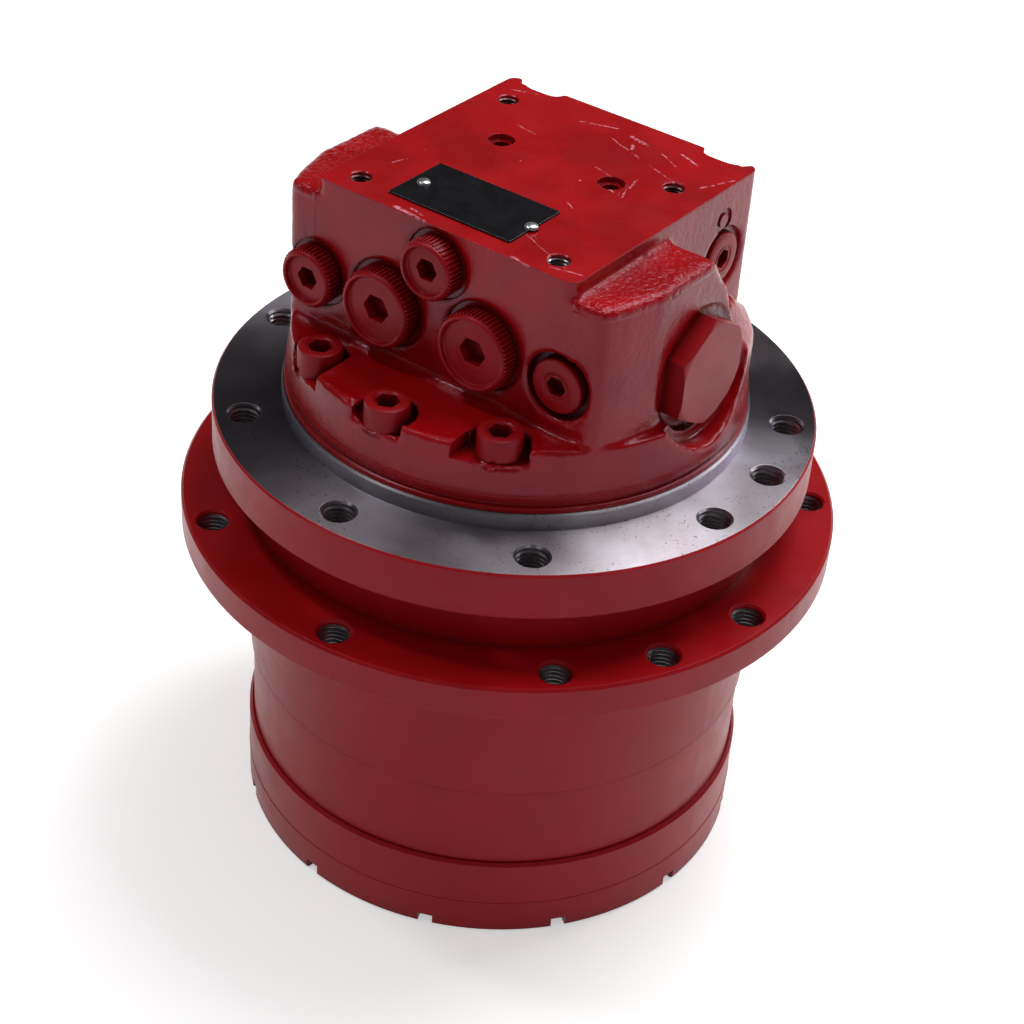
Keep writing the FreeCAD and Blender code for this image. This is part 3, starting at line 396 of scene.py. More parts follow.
@dataclass(frozen=True)
class TurnedSteel:
    """Bare turned steel above a level of a painted piece, with painted shade over sectors of its
    face.
    """

    above: float
    inside: float = 112.6
    depth: float = 8.0
    light: Colour = (0.6, 0.58, 0.64)
    dark: Colour = (0.42, 0.37, 0.4)
    ring: Colour = (0.32, 0.29, 0.32)
    speck: Colour = (0.06, 0.05, 0.05)
    # colour of the painted shade on some sectors of the face
    sector_shade: Colour = (0.11, 0.1, 0.12)
    # painted shade sectors: direction, start, end and share of each
    shaded_sectors: tuple[tuple[Point, float, float, float], ...] = (
        ((-1.0, -0.05, 0.0), -0.1, 0.75, 0.65), ((0.76, 0.65, 0.0), 0.955, 0.995, 0.8),
        ((-0.35, -0.94, 0.0), 0.6, 1.0, 0.3), ((0.4, -0.92, 0.0), 0.85, 1.0, 0.5))

    def cover(self, g: Graph, colour: Socket,
              rough: Socket) -> tuple[Socket, Socket, tuple[Socket, float]]:
        """Lay the steel over a paint.

        Args:
            g: the material being drawn.
            colour: the paint's colour.
            rough: the paint's roughness.

        Returns:
            The new colour, the new roughness, and the turning marks with their depth.
        """
        bare = self._mask(g)
        steel, dirt = self._steel(g)
        rough = g.sums("ADD", g.times(rough, g.sums("SUBTRACT", 1.0, bare)), g.times(bare, dirt))
        turning = g.noise(0.35, 2.0, where=self._rings(g))
        g.shade({"Metallic": bare, "Anisotropic": 0.85, "Tangent": self._outward(g)})
        return g.mix(bare, colour, steel), rough, (g.times(turning, bare), 0.006)

    def _mask(self, g: Graph) -> Socket:
        """Draw where the steel is bare: on the top face and in its holes.

        Args:
            g: the material being drawn.

        Returns:
            The mask's socket.
        """
        z = g.axes()[2]
        face = g.step(z, self.above * MM, (self.above + 0.15) * MM)
        hole = g.times(g.sums("LESS_THAN", g.radius(), self.inside * MM),
                       g.sums("GREATER_THAN", z, (self.above - self.depth) * MM))
        return g.sums("MAXIMUM", face, hole)

    def _rings(self, g: Graph) -> Socket:
        """Draw coordinates that run with the radius, for turning marks.

        Args:
            g: the material being drawn.

        Returns:
            The coordinates' socket.
        """
        made = g.node("ShaderNodeCombineXYZ")
        g.feed(made.inputs[0], g.radius())
        return made.outputs[0]

    def _outward(self, g: Graph) -> Socket:
        """Return the direction away from the shaft axis, across the turning marks."""
        return g.vectors("NORMALIZE", g.vectors("MULTIPLY", g.place, (1.0, 1.0, 0.0)))

    def _steel(self, g: Graph) -> tuple[Socket, Socket]:
        """Draw the steel, with its clouds, specks and painted shade over some sectors.

        Args:
            g: the material being drawn.

        Returns:
            Its colour and its roughness.
        """
        cloud = g.noise(30.0, 4.0, warp=0.6)
        rings = g.noise(0.9, 3.0, where=self._rings(g))
        specks = g.times(g.step(g.noise(1.1, 2.0), 0.64, 0.7),
                         g.step(g.noise(22.0, 2.0), 0.46, 0.58))
        steel = g.mix(g.step(cloud, 0.3, 0.72), self.dark, self.light)
        steel = g.mix(g.times(rings, 0.35), steel, self.ring)
        steel = g.mix(g.times(specks, 0.8), steel, self.speck)
        # painted shade: darker steel where the casting shades the face and where its reflection
        # should be dimmer
        for sector, low, high, share in self.shaded_sectors:
            facing = g.vectors("DOT_PRODUCT", self._outward(g), sector, output="Value")
            steel = g.mix(g.times(g.step(facing, low, high), share), steel, self.sector_shade)
        return steel, g.sums("MULTIPLY_ADD", cloud, 0.2, 0.36)


@dataclass(frozen=True)
class Paint:
    """Gloss red paint over casting or machined steel."""

    name: str
    slot: str = "red_paint"
    colour: Colour = (0.335, 0.0028, 0.0045)
    shade: Colour = (0.23, 0.0012, 0.002)
    # pale edge colour: partly chipped paint, partly a painted highlight along the crests
    chip_and_highlight: Colour = (0.5, 0.13, 0.15)
    # colour of the painted shade in corners, crevices and sockets
    crevice_shade: Colour = (0.02, 0.001, 0.001)
    scuff: Colour = (0.66, 0.3, 0.36)
    tint: Colour = (0.9, 0.78, 1.0)
    roughness: float = 0.3
    gloss: float = 0.24
    cast: float = 0.0
    scuffs: float = 0.0
    turned: float = 0.0
    edge: float = 0.4
    steel: TurnedSteel | None = None
    # share of the pale edge colour, chipped paint and painted highlight together
    chip_and_highlight_share: float = 0.6
    marks_level: float = 280.5
    marks: tuple[tuple[float, float, float, float, float], ...] = ()

    def draw(self) -> bpy.types.Material:
        """Draw the material.

        Returns:
            The material.
        """
        g = Graph(self.name)
        cloud = g.noise(34.0, 4.0, warp=0.4)
        fine = g.noise(2.2, 3.0)
        colour = g.mix(g.step(cloud, 0.3, 0.72), self.shade, self.colour)
        # pale outer edges at random: partly chipped paint, partly a painted highlight along the
        # crests
        chips_and_highlights = g.times(g.outer_edge_mask(0.7), g.step(g.noise(5.0, 4.0), 0.5, 0.75))
        colour = g.mix(g.times(chips_and_highlights, self.chip_and_highlight_share), colour, self.chip_and_highlight)
        # painted shade: darker paint in corners, crevices, sockets and recesses, by an occlusion
        # mask
        colour = g.mix(g.times(g.occlusion(7.0), 0.9), colour, self.crevice_shade)
        rough = g.sums("MULTIPLY_ADD", g.noise(11.0, 4.0), 0.22, self.roughness - 0.11)
        heights = [(fine, 0.018), (g.noise(9.0, 2.0), 0.05)]
        if self.turned:
            rings = g.noise(1.3, 2.0, stretch=(0.02, 0.02, 1.0))
            heights.append((rings, self.turned * 0.02))
            rough = g.sums("MULTIPLY_ADD", rings, 0.1, rough)
        if self.cast:
            skin = g.node("ShaderNodeAttribute", attribute_name="cast_skin").outputs["Fac"]
            grain = g.noise(1.5, 4.0, warp=0.6)
            lumps = g.cells(2.6)
            heights.append((g.times(skin, grain), self.cast * 0.8))
            heights.append((g.times(skin, lumps), self.cast * 0.4))
            rough = g.sums("MULTIPLY_ADD", skin, -0.16, rough)
        if self.scuffs:
            marks = self._scuffs(g)
            colour = g.mix(g.times(marks, self.scuffs), colour, self.scuff)
            rough = g.sums("MULTIPLY_ADD", marks, 0.2, rough)
        if self.steel:
            colour, rough, turning = self.steel.cover(g, colour, rough)
            heights.append(turning)
        g.shade({"Base Color": colour, "Roughness": rough, "Specular IOR Level": self.gloss,
                 "Specular Tint": (*self.tint, 1.0)})
        g.relief(heights, self.edge)
        return g.material

    def _scuffs(self, g: Graph) -> Socket:
        """Draw pale scratches at their places and a few rubbed spots.

        Args:
            g: the material being drawn.

        Returns:
            Their mask.
        """
        spots = g.step(g.noise(2.4, 4.0, warp=0.5), 0.68, 0.75)
        patch = g.step(g.noise(26.0, 2.0), 0.55, 0.66)
        found = g.times(spots, patch)
        broken = g.step(g.noise(3.4, 5.0, warp=1.4), 0.36, 0.66)
        where = g.wobbled(5.0, 1.6)
        for x0, y0, x1, y1, width in self.marks:
            line = g.times(g.stroke(where, (x0, y0), (x1, y1), width), broken)
            found = g.sums("MAXIMUM", found, line)
        above = g.step(g.axes()[2], (self.marks_level - 1.0) * MM, (self.marks_level - 0.3) * MM)
        return g.times(found, above)


@dataclass(frozen=True)
class Metal:
    """Bare metal with clouds, dark specks and fine working marks."""

    name: str
    slot: str
    colour: Colour
    stain: Colour
    roughness: float = 0.35
    grain: float = 0.35
    stretch: Point = (1.0, 1.0, 1.0)
    edge: float = 0.25

    def draw(self) -> bpy.types.Material:
        """Draw the material.

        Returns:
            The material.
        """
        g = Graph(self.name)
        cloud = g.noise(9.0, 5.0, warp=0.7)
        marks = g.noise(self.grain, 2.0, stretch=self.stretch)
        specks = g.step(g.noise(1.4, 3.0), 0.64, 0.72)
        dark = tuple(0.3 * c for c in self.stain)
        bright = tuple(min(1.0, 1.5 * c) for c in self.colour)
        colour = g.mix(g.step(cloud, 0.35, 0.75), self.stain, self.colour)
        colour = g.mix(g.times(specks, 0.55), colour, dark)
        colour = g.mix(g.times(g.outer_edge_mask(0.35), 0.5), colour, bright)
        rough = g.sums("MULTIPLY_ADD", cloud, 0.16, self.roughness - 0.18)
        rough = g.sums("MULTIPLY_ADD", marks, 0.2, rough)
        g.shade({"Base Color": colour, "Roughness": rough, "Metallic": 1.0})
        g.relief([(marks, 0.006), (cloud, 0.02)], self.edge)
        return g.material


@dataclass(frozen=True)
class Soft:
    """Rubber, lining or plate enamel: no metal, a little grain."""

    name: str
    slot: str
    colour: Colour
    worn: Colour
    roughness: float = 0.55
    grain: float = 0.8
    depth: float = 0.02
    rim: Colour = (0.12, 0.12, 0.12)
    gloss: float = 0.5

    def draw(self) -> bpy.types.Material:
        """Draw the material.

        Returns:
            The material.
        """
        g = Graph(self.name)
        cloud = g.noise(7.0, 4.0, warp=0.5)
        grain = g.noise(self.grain, 3.0)
        colour = g.mix(g.step(cloud, 0.3, 0.75), self.colour, self.worn)
        colour = g.mix(g.times(g.outer_edge_mask(0.3), 0.8), colour, self.rim)
        rough = g.sums("MULTIPLY_ADD", grain, 0.2, self.roughness - 0.1)
        g.shade({"Base Color": colour, "Roughness": rough, "Specular IOR Level": self.gloss})
        g.relief([(grain, self.depth)], 0.15)
        return g.material


TOP_MARKS = (
    (-14, 52, 0, 57, 0.45), (2, 49, 20, 42, 0.25), (8, 55, 16, 53, 1.2), (12, 50, 14, 46, 0.9),
    (24, 51, 34, 46, 0.35), (30, 56, 40, 52, 0.6), (-30, 33, -20, 31, 0.3), (26, 40, 40, 35, 0.25),
    (12, 25, 31, 20, 0.3), (31, 20, 29, 27, 0.6), (30, 20, 33, 12, 0.35), (26, 14, 31, 13, 0.5),
    (-22, -49.5, -8, -51, 1.1), (-17, -47, -11, -48, 0.7), (30, -50, 38, -51.5, 0.7),
    (44, -47, 55, -44, 0.4), (24, -34, 48, -44, 0.2), (50, 38, 56, 52, 0.5),
    (-44, -24, -42, -18, 0.3), (-50, 56, -40, 60, 0.5), (20, -4, 25, -7, 0.25))
RED_CAST = Paint("red_cast_paint", cast=0.8, scuffs=0.7, edge=0.4, marks=TOP_MARKS,
                 roughness=0.27, gloss=0.34, chip_and_highlight_share=0.15)
RED_TURNED = Paint("red_turned_paint", turned=1.0, edge=0.35, shade=(0.285, 0.002, 0.0034))
RED_PLUG = Paint("red_plug_paint", colour=(0.3, 0.0035, 0.006), edge=0.2, roughness=0.38,
                 chip_and_highlight_share=0.25)
RED_FLANGE = Paint("red_flange_paint", turned=1.0, edge=0.3, steel=TurnedSteel(188.35),
                   shade=(0.285, 0.002, 0.0034))
DARK_THREAD = Metal("dark_thread_steel", "gear_steel", (0.3, 0.16, 0.16), (0.1, 0.05, 0.05), 0.4)
THREAD_STEEL = Metal("thread_steel", "gear_steel", (0.42, 0.41, 0.43), (0.2, 0.18, 0.2), 0.32)
GEAR_STEEL = Metal("gear_steel", "gear_steel", (0.44, 0.43, 0.45), (0.28, 0.27, 0.29), 0.3,
                   0.5, (1, 1, 0.1))
BEARING_STEEL = Metal("bearing_steel", "bearing_steel", (0.55, 0.55, 0.57), (0.4, 0.4, 0.42), 0.2)
SPRING_STEEL = Metal("spring_steel", "spring_steel", (0.3, 0.3, 0.33), (0.14, 0.13, 0.14), 0.36)
BRONZE = Metal("bronze", "bronze", (0.6, 0.41, 0.2), (0.4, 0.25, 0.11), 0.32)
RIVET_METAL = Metal("rivet_aluminium", "rivet_aluminium", (0.72, 0.72, 0.74),
                    (0.5, 0.5, 0.52), 0.3)
LINING = Soft("friction_lining", "friction_lining", (0.2, 0.15, 0.1), (0.3, 0.24, 0.17), 0.8)
RUBBER = Soft("rubber", "rubber", (0.02, 0.02, 0.02), (0.05, 0.05, 0.05), 0.6)
PLATE_BLACK = Soft("plate_black", "plate_black", (0.0035, 0.0035, 0.0045), (0.007, 0.007, 0.009),
                   0.4, 1.6, 0.005, (0.62, 0.6, 0.64), 0.1)
Finish = Paint | Metal | Soft


class Palette:
    """Materials already drawn, by finish."""

    drawn: dict[str, bpy.types.Material] = {}
    dressed: set[str] = set()

    @classmethod
    def of(cls, finish: Finish) -> bpy.types.Material:
        """Return the finish's material, drawing it the first time.

        Args:
            finish: the finish.

        Returns:
            Its material.
        """
        if finish.name not in cls.drawn:
            cls.drawn[finish.name] = finish.draw()
        return cls.drawn[finish.name]


# Shaping meshes


class Bench:
    """Modelling steps, done with Blender's own operators."""

    @staticmethod
    def clear() -> None:
        """Leave edit mode and select nothing."""
        if bpy.context.object and bpy.context.object.mode != "OBJECT":
            bpy.ops.object.mode_set(mode="OBJECT")
        bpy.ops.object.select_all(action="DESELECT")

    @classmethod
    def pick(cls, piece: bpy.types.Object) -> None:
        """Make one object the only one selected and active.

        Args:
            piece: the object.
        """
        cls.clear()
        piece.select_set(True)
        bpy.context.view_layer.objects.active = piece

    @classmethod
    def named(cls, name: str) -> bpy.types.Object:
        """Name the object that was just added.

        Args:
            name: its name.

        Returns:
            The object.
        """
        piece = bpy.context.object
        piece.name = name
        piece.data.name = name
        return piece

    @classmethod
    def box(cls, low: Point, high: Point, name: str = "box") -> bpy.types.Object:
        """Add a box between two corners given in millimetres.

        Args:
            low: lowest corner.
            high: highest corner.
            name: name of the object.

        Returns:
            The box, with its place in its mesh.
        """
        cls.clear()
        middle = [(a + b) / 2 * MM for a, b in zip(low, high)]
        bpy.ops.mesh.primitive_cube_add(size=1.0, location=middle)
        piece = cls.named(name)
        piece.scale = [(b - a) * MM for a, b in zip(low, high)]
        return cls.settle(piece)

    @classmethod
    def rod(cls, radius: float, low: float, high: float, x: float = 0.0, y: float = 0.0,
            sides: int = 64, top: float | None = None, name: str = "rod") -> bpy.types.Object:
        """Add an upright cylinder or cone, in millimetres.

        Args:
            radius: radius at the foot.
            low: level of the foot.
            high: level of the top.
            x: place of the axis.
            y: place of the axis.
            sides: number of sides.
            top: radius at the top, or the same.
            name: name of the object.

        Returns:
            The cylinder, with its place in its mesh.
        """
        cls.clear()
        bpy.ops.mesh.primitive_cone_add(
            vertices=sides, radius1=radius * MM, radius2=(radius if top is None else top) * MM,
            depth=(high - low) * MM, location=(x * MM, y * MM, (low + high) / 2 * MM))
        return cls.settle(cls.named(name))

    @classmethod
    def hexagon(cls, flats: float, low: float, high: float,
                turn: float = math.pi / 6) -> bpy.types.Object:
        """Add an upright hexagon bar, in millimetres.

        Args:
            flats: size across its flats.
            low: level of the foot.
            high: level of the top.
            turn: its turn about its axis.

        Returns:
            The bar.
        """
        bar = cls.rod(flats / 2 / math.cos(math.pi / 6), low, high, sides=6)
        return cls.settle(bar, Matrix.Rotation(turn, 4, "Z"))

    @classmethod
    def settle(cls, piece: bpy.types.Object, turn: Matrix | None = None) -> bpy.types.Object:
        """Put an object's place and turn into its mesh.

        Args:
            piece: the object.
            turn: a matrix to move it by first.

        Returns:
            The object.
        """
        cls.pick(piece)
        if turn is not None:
            piece.matrix_world = turn @ piece.matrix_world
            bpy.context.view_layer.update()
        bpy.ops.object.transform_apply(location=True, rotation=True, scale=True)
        return piece

    @classmethod
    def outline(cls, name: str, points: Profile) -> bpy.types.Object:
        """Draw a chain of edges through (radius, height) points and stay in edit mode.

        Args:
            name: name of the object.
            points: points in millimetres.

        Returns:
            The chain.
        """
        cls.clear()
        bpy.ops.mesh.primitive_plane_add(size=0.001)
        piece = cls.named(name)
        bpy.ops.object.mode_set(mode="EDIT")
        bpy.ops.mesh.merge(type="CENTER")
        r, z = points[0]
        bpy.ops.transform.translate(value=(r * MM, 0, z * MM))
        for (r0, z0), (r1, z1) in zip(points, points[1:]):
            bpy.ops.mesh.extrude_region_move(
                TRANSFORM_OT_translate={"value": ((r1 - r0) * MM, 0, (z1 - z0) * MM)})
        return piece

    @classmethod
    def turned(cls, name: str, profile: Profile, steps: int = 96,
               closed: bool = False) -> bpy.types.Object:
        """Spin an outline of (radius, height) points about the Z axis.

        Args:
            name: name of the object.
            profile: points in millimetres.
            steps: sides of the turned shape.
            closed: whether the last point joins the first.

        Returns:
            The turned shape.
        """
        piece = cls.outline(name, profile)
        if closed:
            cls.choose(piece, "VERT", lambda vertex: len(vertex.link_edges) == 1)
            bpy.ops.mesh.edge_face_add()
        bpy.ops.mesh.select_all(action="SELECT")
        bpy.ops.mesh.spin(steps=steps, angle=2 * math.pi, center=(0, 0, 0), axis=(0, 0, 1))
        bpy.ops.mesh.select_all(action="SELECT")
        bpy.ops.mesh.remove_doubles(threshold=1e-6)
        bpy.ops.mesh.normals_make_consistent(inside=False)
        bpy.ops.object.mode_set(mode="OBJECT")
        return piece

    @classmethod
    def choose(cls, piece: bpy.types.Object, kind: str,
               test: Callable[[bmesh.types.BMFace | bmesh.types.BMVert], bool]) -> None:
        """Enter edit mode with the faces or vertices selected that pass a test.

        Args:
            piece: the object.
            kind: FACE or VERT.
            test: tells whether a face or vertex is chosen.
        """
        cls.pick(piece)
        bpy.ops.object.mode_set(mode="EDIT")
        bpy.ops.mesh.select_mode(type=kind)
        bpy.ops.mesh.select_all(action="DESELECT")
        shape = bmesh.from_edit_mesh(piece.data)
        for item in shape.faces if kind == "FACE" else shape.verts:
            item.select = test(item)
        shape.select_flush_mode()
        bmesh.update_edit_mesh(piece.data)

    @classmethod
    def finish_edit(cls) -> None:
        """Leave edit mode in vertex selection."""
        bpy.ops.mesh.select_mode(type="VERT")
        bpy.ops.object.mode_set(mode="OBJECT")

    @classmethod
    def bevel(cls, piece: bpy.types.Object, width: float, segments: int = 2,
              angle: float = 35.0) -> bpy.types.Object:
        """Round the sharp edges.

        Args:
            piece: the object.
            width: width in millimetres.
            segments: faces across the edge.
            angle: edges sharper than this are rounded, in degrees.

        Returns:
            The object.
        """
        return cls.modify(piece, "BEVEL", width=width * MM, segments=segments,
                          limit_method="ANGLE", angle_limit=math.radians(angle))

    @classmethod
    def modify(cls, piece: bpy.types.Object, kind: str, **settings: object) -> bpy.types.Object:
        """Add a modifier, set it and apply it.

        Args:
            piece: the object.
            kind: type of the modifier.
            settings: attributes to set on it.

        Returns:
            The object.
        """
        cls.pick(piece)
        made = piece.modifiers.new(kind.lower(), kind)
        for key, value in settings.items():
            setattr(made, key, value)
        bpy.ops.object.modifier_apply(modifier=made.name)
        return piece

    @classmethod
    def boolean(cls, piece: bpy.types.Object, tool: bpy.types.Object,
                operation: str = "DIFFERENCE", solver: str = "EXACT") -> bpy.types.Object:
        """Cut, add or keep what another object covers, and remove that object.

        Args:
            piece: the object that stays.
            tool: the object that is used up.
            operation: DIFFERENCE, UNION or INTERSECT.
            solver: EXACT or MANIFOLD.

        Returns:
            The object that stays.
        """
        cls.modify(piece, "BOOLEAN", object=tool, operation=operation, solver=solver)
        bpy.data.objects.remove(tool)
        return piece

    @classmethod
    def joined(cls, name: str, pieces: Sequence[bpy.types.Object]) -> bpy.types.Object:
        """Join objects into one.

        Args:
            name: name of the result.
            pieces: the objects.

        Returns:
            The joined object.
        """
        cls.pick(pieces[0])
        for other in pieces:
            other.select_set(True)
        if len(pieces) > 1:
            bpy.ops.object.join()
        return cls.named(name)

    @classmethod
    def copy(cls, piece: bpy.types.Object, turn: Matrix, name: str) -> bpy.types.Object:
        """Copy an object with its own mesh and move the copy.

        Args:
            piece: the object to copy.
            turn: where the copy goes.
            name: name of the copy.

        Returns:
            The copy.
        """
        other = piece.copy()
        other.data = piece.data.copy()
        bpy.context.scene.collection.objects.link(other)
        other.name = name
        return cls.settle(other, turn)

    @classmethod
    def spread(cls, name: str, master: bpy.types.Object,
               turns: Sequence[Matrix]) -> bpy.types.Object:
        """Copy an object to its places, join the copies and remove the original.

        Args:
            name: name of the result.
            master: the object to copy.
            turns: where the copies go.

        Returns:
            The joined copies.
        """
        copies = [cls.copy(master, turn, name) for turn in turns]
        bpy.data.objects.remove(master)
        return cls.joined(name, copies)

    @classmethod
    def from_node(cls, node: str, name: str) -> bpy.types.Object:
        """Copy a CAD node's mesh and merge its loose triangles.

        Args:
            node: name of the node.
            name: name of the copy.

        Returns:
            The merged copy, free of its body.
        """
        source = frame["nodes"][node]
        cls.clear()
        made = bpy.data.objects.new(name, source.data.copy())
        bpy.context.scene.collection.objects.link(made)
        cls.pick(made)
        bpy.ops.object.mode_set(mode="EDIT")
        bpy.ops.mesh.customdata_custom_splitnormals_clear()
        bpy.ops.mesh.select_all(action="SELECT")
        bpy.ops.mesh.remove_doubles(threshold=2e-6)
        bpy.ops.object.mode_set(mode="OBJECT")
        made.data.materials.clear()
        return made

    @classmethod
    def smooth(cls, piece: bpy.types.Object, angle: float = 35.0) -> bpy.types.Object:
        """Shade smoothly except over sharp edges.

        Args:
            piece: the object.
            angle: edges sharper than this stay sharp, in degrees.

        Returns:
            The object.
        """
        cls.pick(piece)
        bpy.ops.object.shade_smooth_by_angle(angle=math.radians(angle))
        return piece


def placed(x: float, y: float, z: float, facing: Facing = Facing.UP) -> Matrix:
    """Return the matrix that turns a piece and moves it, in millimetres."""
    return Matrix.Translation((x * MM, y * MM, z * MM)) @ facing.value


def polar(radius: float, degrees: float) -> tuple[float, float]:
    """Return x and y of a point at a radius and an angle."""
    return radius * math.cos(math.radians(degrees)), radius * math.sin(math.radians(degrees))


def uneven_holes(circle: float, first: float) -> list[tuple[float, float]]:
    """Place nine holes round a circle and the tenth between two of them.

    Args:
        circle: radius of the circle.
        first: angle of the first hole, in degrees.

    Returns:
        x and y of each hole.
    """
    angles = [first + 40 * i for i in range(9)] + [first + 100]
    return [polar(circle, a) for a in angles]


def dress(piece: bpy.types.Object, finish: Finish, side: Side, *nodes: str,
          angle: float = 35.0) -> bpy.types.Object:
    """Give a new piece its finish, its body and the nodes that it stands for.

    Args:
        piece: the object.
        finish: its finish.
        side: the body that carries it.
        nodes: CAD nodes that it replaces.
        angle: edges sharper than this stay sharp, in degrees.

    Returns:
        The object.
    """
    Bench.smooth(piece, angle)
    Bench.modify(piece, "WEIGHTED_NORMAL", keep_sharp=True, weight=80)
    piece.data.materials.clear()
    piece.data.materials.append(Palette.of(finish))
    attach(piece, side.value)
    if nodes:
        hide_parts(*nodes)
    LOG.info("%s: %d faces", piece.name, len(piece.data.polygons))
    return piece


# Sub-assemblies


@dataclass
class Cap:
    """A cup-faced relief cap with ribs round its side and a hexagon socket."""

    radius: float
    socket: float
    ribs: int
    height: float = 9.0
    places: list[tuple[float, float]] = field(default_factory=list)

    def model(self) -> bpy.types.Object:
        """Model one cap along +Z, seated at zero.

        Returns:
            The cap.
        """
        r, h = self.radius, self.height
        outline = [(0, -3), (r - 0.9, -3), (r - 0.9, 0.9), (r - 0.45, 1.5), (r - 0.45, h - 1.3),
                   (r - 0.8, h - 0.5), (r - 1.3, h - 0.1), (r - 1.9, h), (r - 2.3, h - 0.3),
                   (r - 2.6, h - 1.6), (r - 3.0, h - 1.95), (r * 0.58, h - 1.9),
                   (r * 0.57, h - 2.0), (r * 0.555, h - 1.9), (0, h - 1.85)]
        cap = Bench.turned("cap", outline, steps=self.ribs * 2)
        low, high = (1.6 - 0.3) * MM, (h - 1.1) * MM

        def rib(face: bmesh.types.BMFace) -> bool:
            """Tell whether a face is every second one of the ribbed band.

            Args:
                face: the face.

            Returns:
                Whether it becomes a rib.
            """
            middle = face.calc_center_median()
            turn = math.atan2(middle.y, middle.x) % (2 * math.pi)
            band = low < middle.z < high and math.hypot(middle.x, middle.y) > (r - 0.6) * MM
            return band and int(turn / (math.pi / self.ribs)) % 2 == 0

        Bench.choose(cap, "FACE", rib)
        bpy.ops.mesh.extrude_faces_move(TRANSFORM_OT_shrink_fatten={"value": 0.75 * MM})
        bpy.ops.transform.resize(value=(0.985, 0.985, 0.93), center_override=(0, 0, h / 2 * MM))
        Bench.finish_edit()
        Bench.boolean(cap, Bench.hexagon(self.socket, h - 7.5, h + 1))
        return Bench.bevel(cap, 0.22, 1, 50.0)


@dataclass
class FlushPlug:
    """A plug that sits in a counterbore with a rounded edge and a hexagon socket."""

    radius: float = 10.6
    socket: float = 7.0
    height: float = 5.2

    def model(self) -> bpy.types.Object:
        """Model the plug along +Z, seated at zero.

        Returns:
            The plug.
        """
        r, h = self.radius, self.height
        plug = Bench.turned("plug", [
            (0, -2), (r - 0.4, -2), (r, -1), (r, h - 1.6), (r - 0.5, h - 0.5), (r - 1.6, h),
            (r * 0.52, h), (r * 0.5, h - 0.35), (r * 0.44, h - 0.35), (r * 0.42, h - 0.1),
            (0, h - 0.1)], steps=72)
        Bench.boolean(plug, Bench.hexagon(self.socket, h - 4.8, h + 1))
        return Bench.bevel(plug, 0.2, 1, 50.0)


@dataclass
class HexCap:
    """The large hexagon cap of the spool bore."""

    flats: float = 38.0
    height: float = 8.5

    def model(self) -> bpy.types.Object:
        """Model the cap along +Z, seated at zero, flats to the right and left.

        Returns:
            The cap.
        """
        reach, h = self.flats / 2 / math.cos(math.pi / 6), self.height
        cap = Bench.hexagon(self.flats, -2.0, h)
        limit = Bench.turned("limit", [
            (0, -3), (reach + 0.3, -3), (reach + 0.3, h - 1.6), (reach - 0.6, h - 0.9),
            (reach - 2.6, h + 0.02), (0, h + 0.02)], steps=120)
        Bench.boolean(cap, limit, "INTERSECT")
        return Bench.bevel(cap, 0.35, 2, 25.0)


@dataclass
class SocketScrew:
    """A socket screw's head, seen from outside."""

    radius: float
    height: float
    socket: float

    def model(self) -> bpy.types.Object:
        """Model the head along +Z, seated at zero.

        Returns:
            The head.
        """
        r, h = self.radius, self.height
        head = Bench.turned("screw", [
            (0, -1), (r - 0.3, -1), (r, -0.6), (r, h - 1.3), (r - 0.35, h - 0.4), (r - 1.2, h),
            (self.socket * 0.68, h), (self.socket * 0.6, h - 0.45), (0, h - 0.45)], steps=64)
        Bench.boolean(head, Bench.hexagon(self.socket, h - 5.5, h + 1, turn=0.0))
        return Bench.bevel(head, 0.25, 2, 50.0)


@dataclass
class Thread:
    """Thread ridges that line a tapped hole."""

    radius: float
    pitch: float
    length: float
    depth: float = 0.85

    def model(self) -> bpy.types.Object:
        """Model the lining along -Z from zero.

        Returns:
            The lining.
        """
        turns = int(self.length / self.pitch)
        outer, crest, p = self.radius + 0.03, self.radius - self.depth, self.pitch
        foot = -(turns + 1) * p
        lining = Bench.outline("thread", [
            (outer, foot), (outer, foot + 0.1 * p), (crest, foot + 0.43 * p),
            (crest, foot + 0.57 * p), (outer, foot + 0.9 * p), (outer, foot + p)])
        Bench.finish_edit()
        Bench.modify(lining, "SCREW", steps=32, render_steps=32, iterations=turns,
                     screw_offset=self.pitch * MM, use_merge_vertices=True,
                     merge_threshold=1e-5, use_normal_calculate=True)
        return lining

    def line(self, name: str, holes: Sequence[tuple[float, float]], level: float,
             finish: Finish, side: Side) -> None:
        """Line a group of holes.

        Args:
            name: name of the piece.
            holes: x and y of each hole.
            level: where the threads end at the top.
            finish: their finish.
            side: the body that carries them.
        """
        places = [placed(x, y, level) for x, y in holes]
        dress(Bench.spread(name, self.model(), places), finish, side, angle=60)


@dataclass
class Drum:
    """The turning side: hub, ring gear and end cover."""

    sprocket_circle: float = 119.0
    sprocket_first: float = -125.1
    flange_top: float = 147.5
    hole: float = 6.0
    thread_length: float = 14.0
    joints: tuple[tuple[str, float, float, float], ...] = (
        ("cover_joint", 15.5, 103.0, 0.28), ("ring_joint", 72.7, 101.95, 0.16))

    def build(self) -> None:
        """Dress the turning castings, lay their joint beads and line the tapped holes."""
        for node in ("hub", "ring_gear", "end_cover", "cover_screws", "cover_plugs"):
            finish_node(node, RED_TURNED)
        for name, z, r, size in self.joints:
            bead = Bench.turned(name, [(r - 0.6, z - size), (r, z - size), (r + size * 0.7, z),
                                       (r, z + size), (r - 0.6, z + size)], steps=256)
            dress(bead, RED_TURNED, Side.HUB)
        Thread(self.hole, M12_PITCH, self.thread_length).line(
            "sprocket_threads", uneven_holes(self.sprocket_circle, self.sprocket_first),
            self.flange_top - 0.3, THREAD_STEEL, Side.HUB)


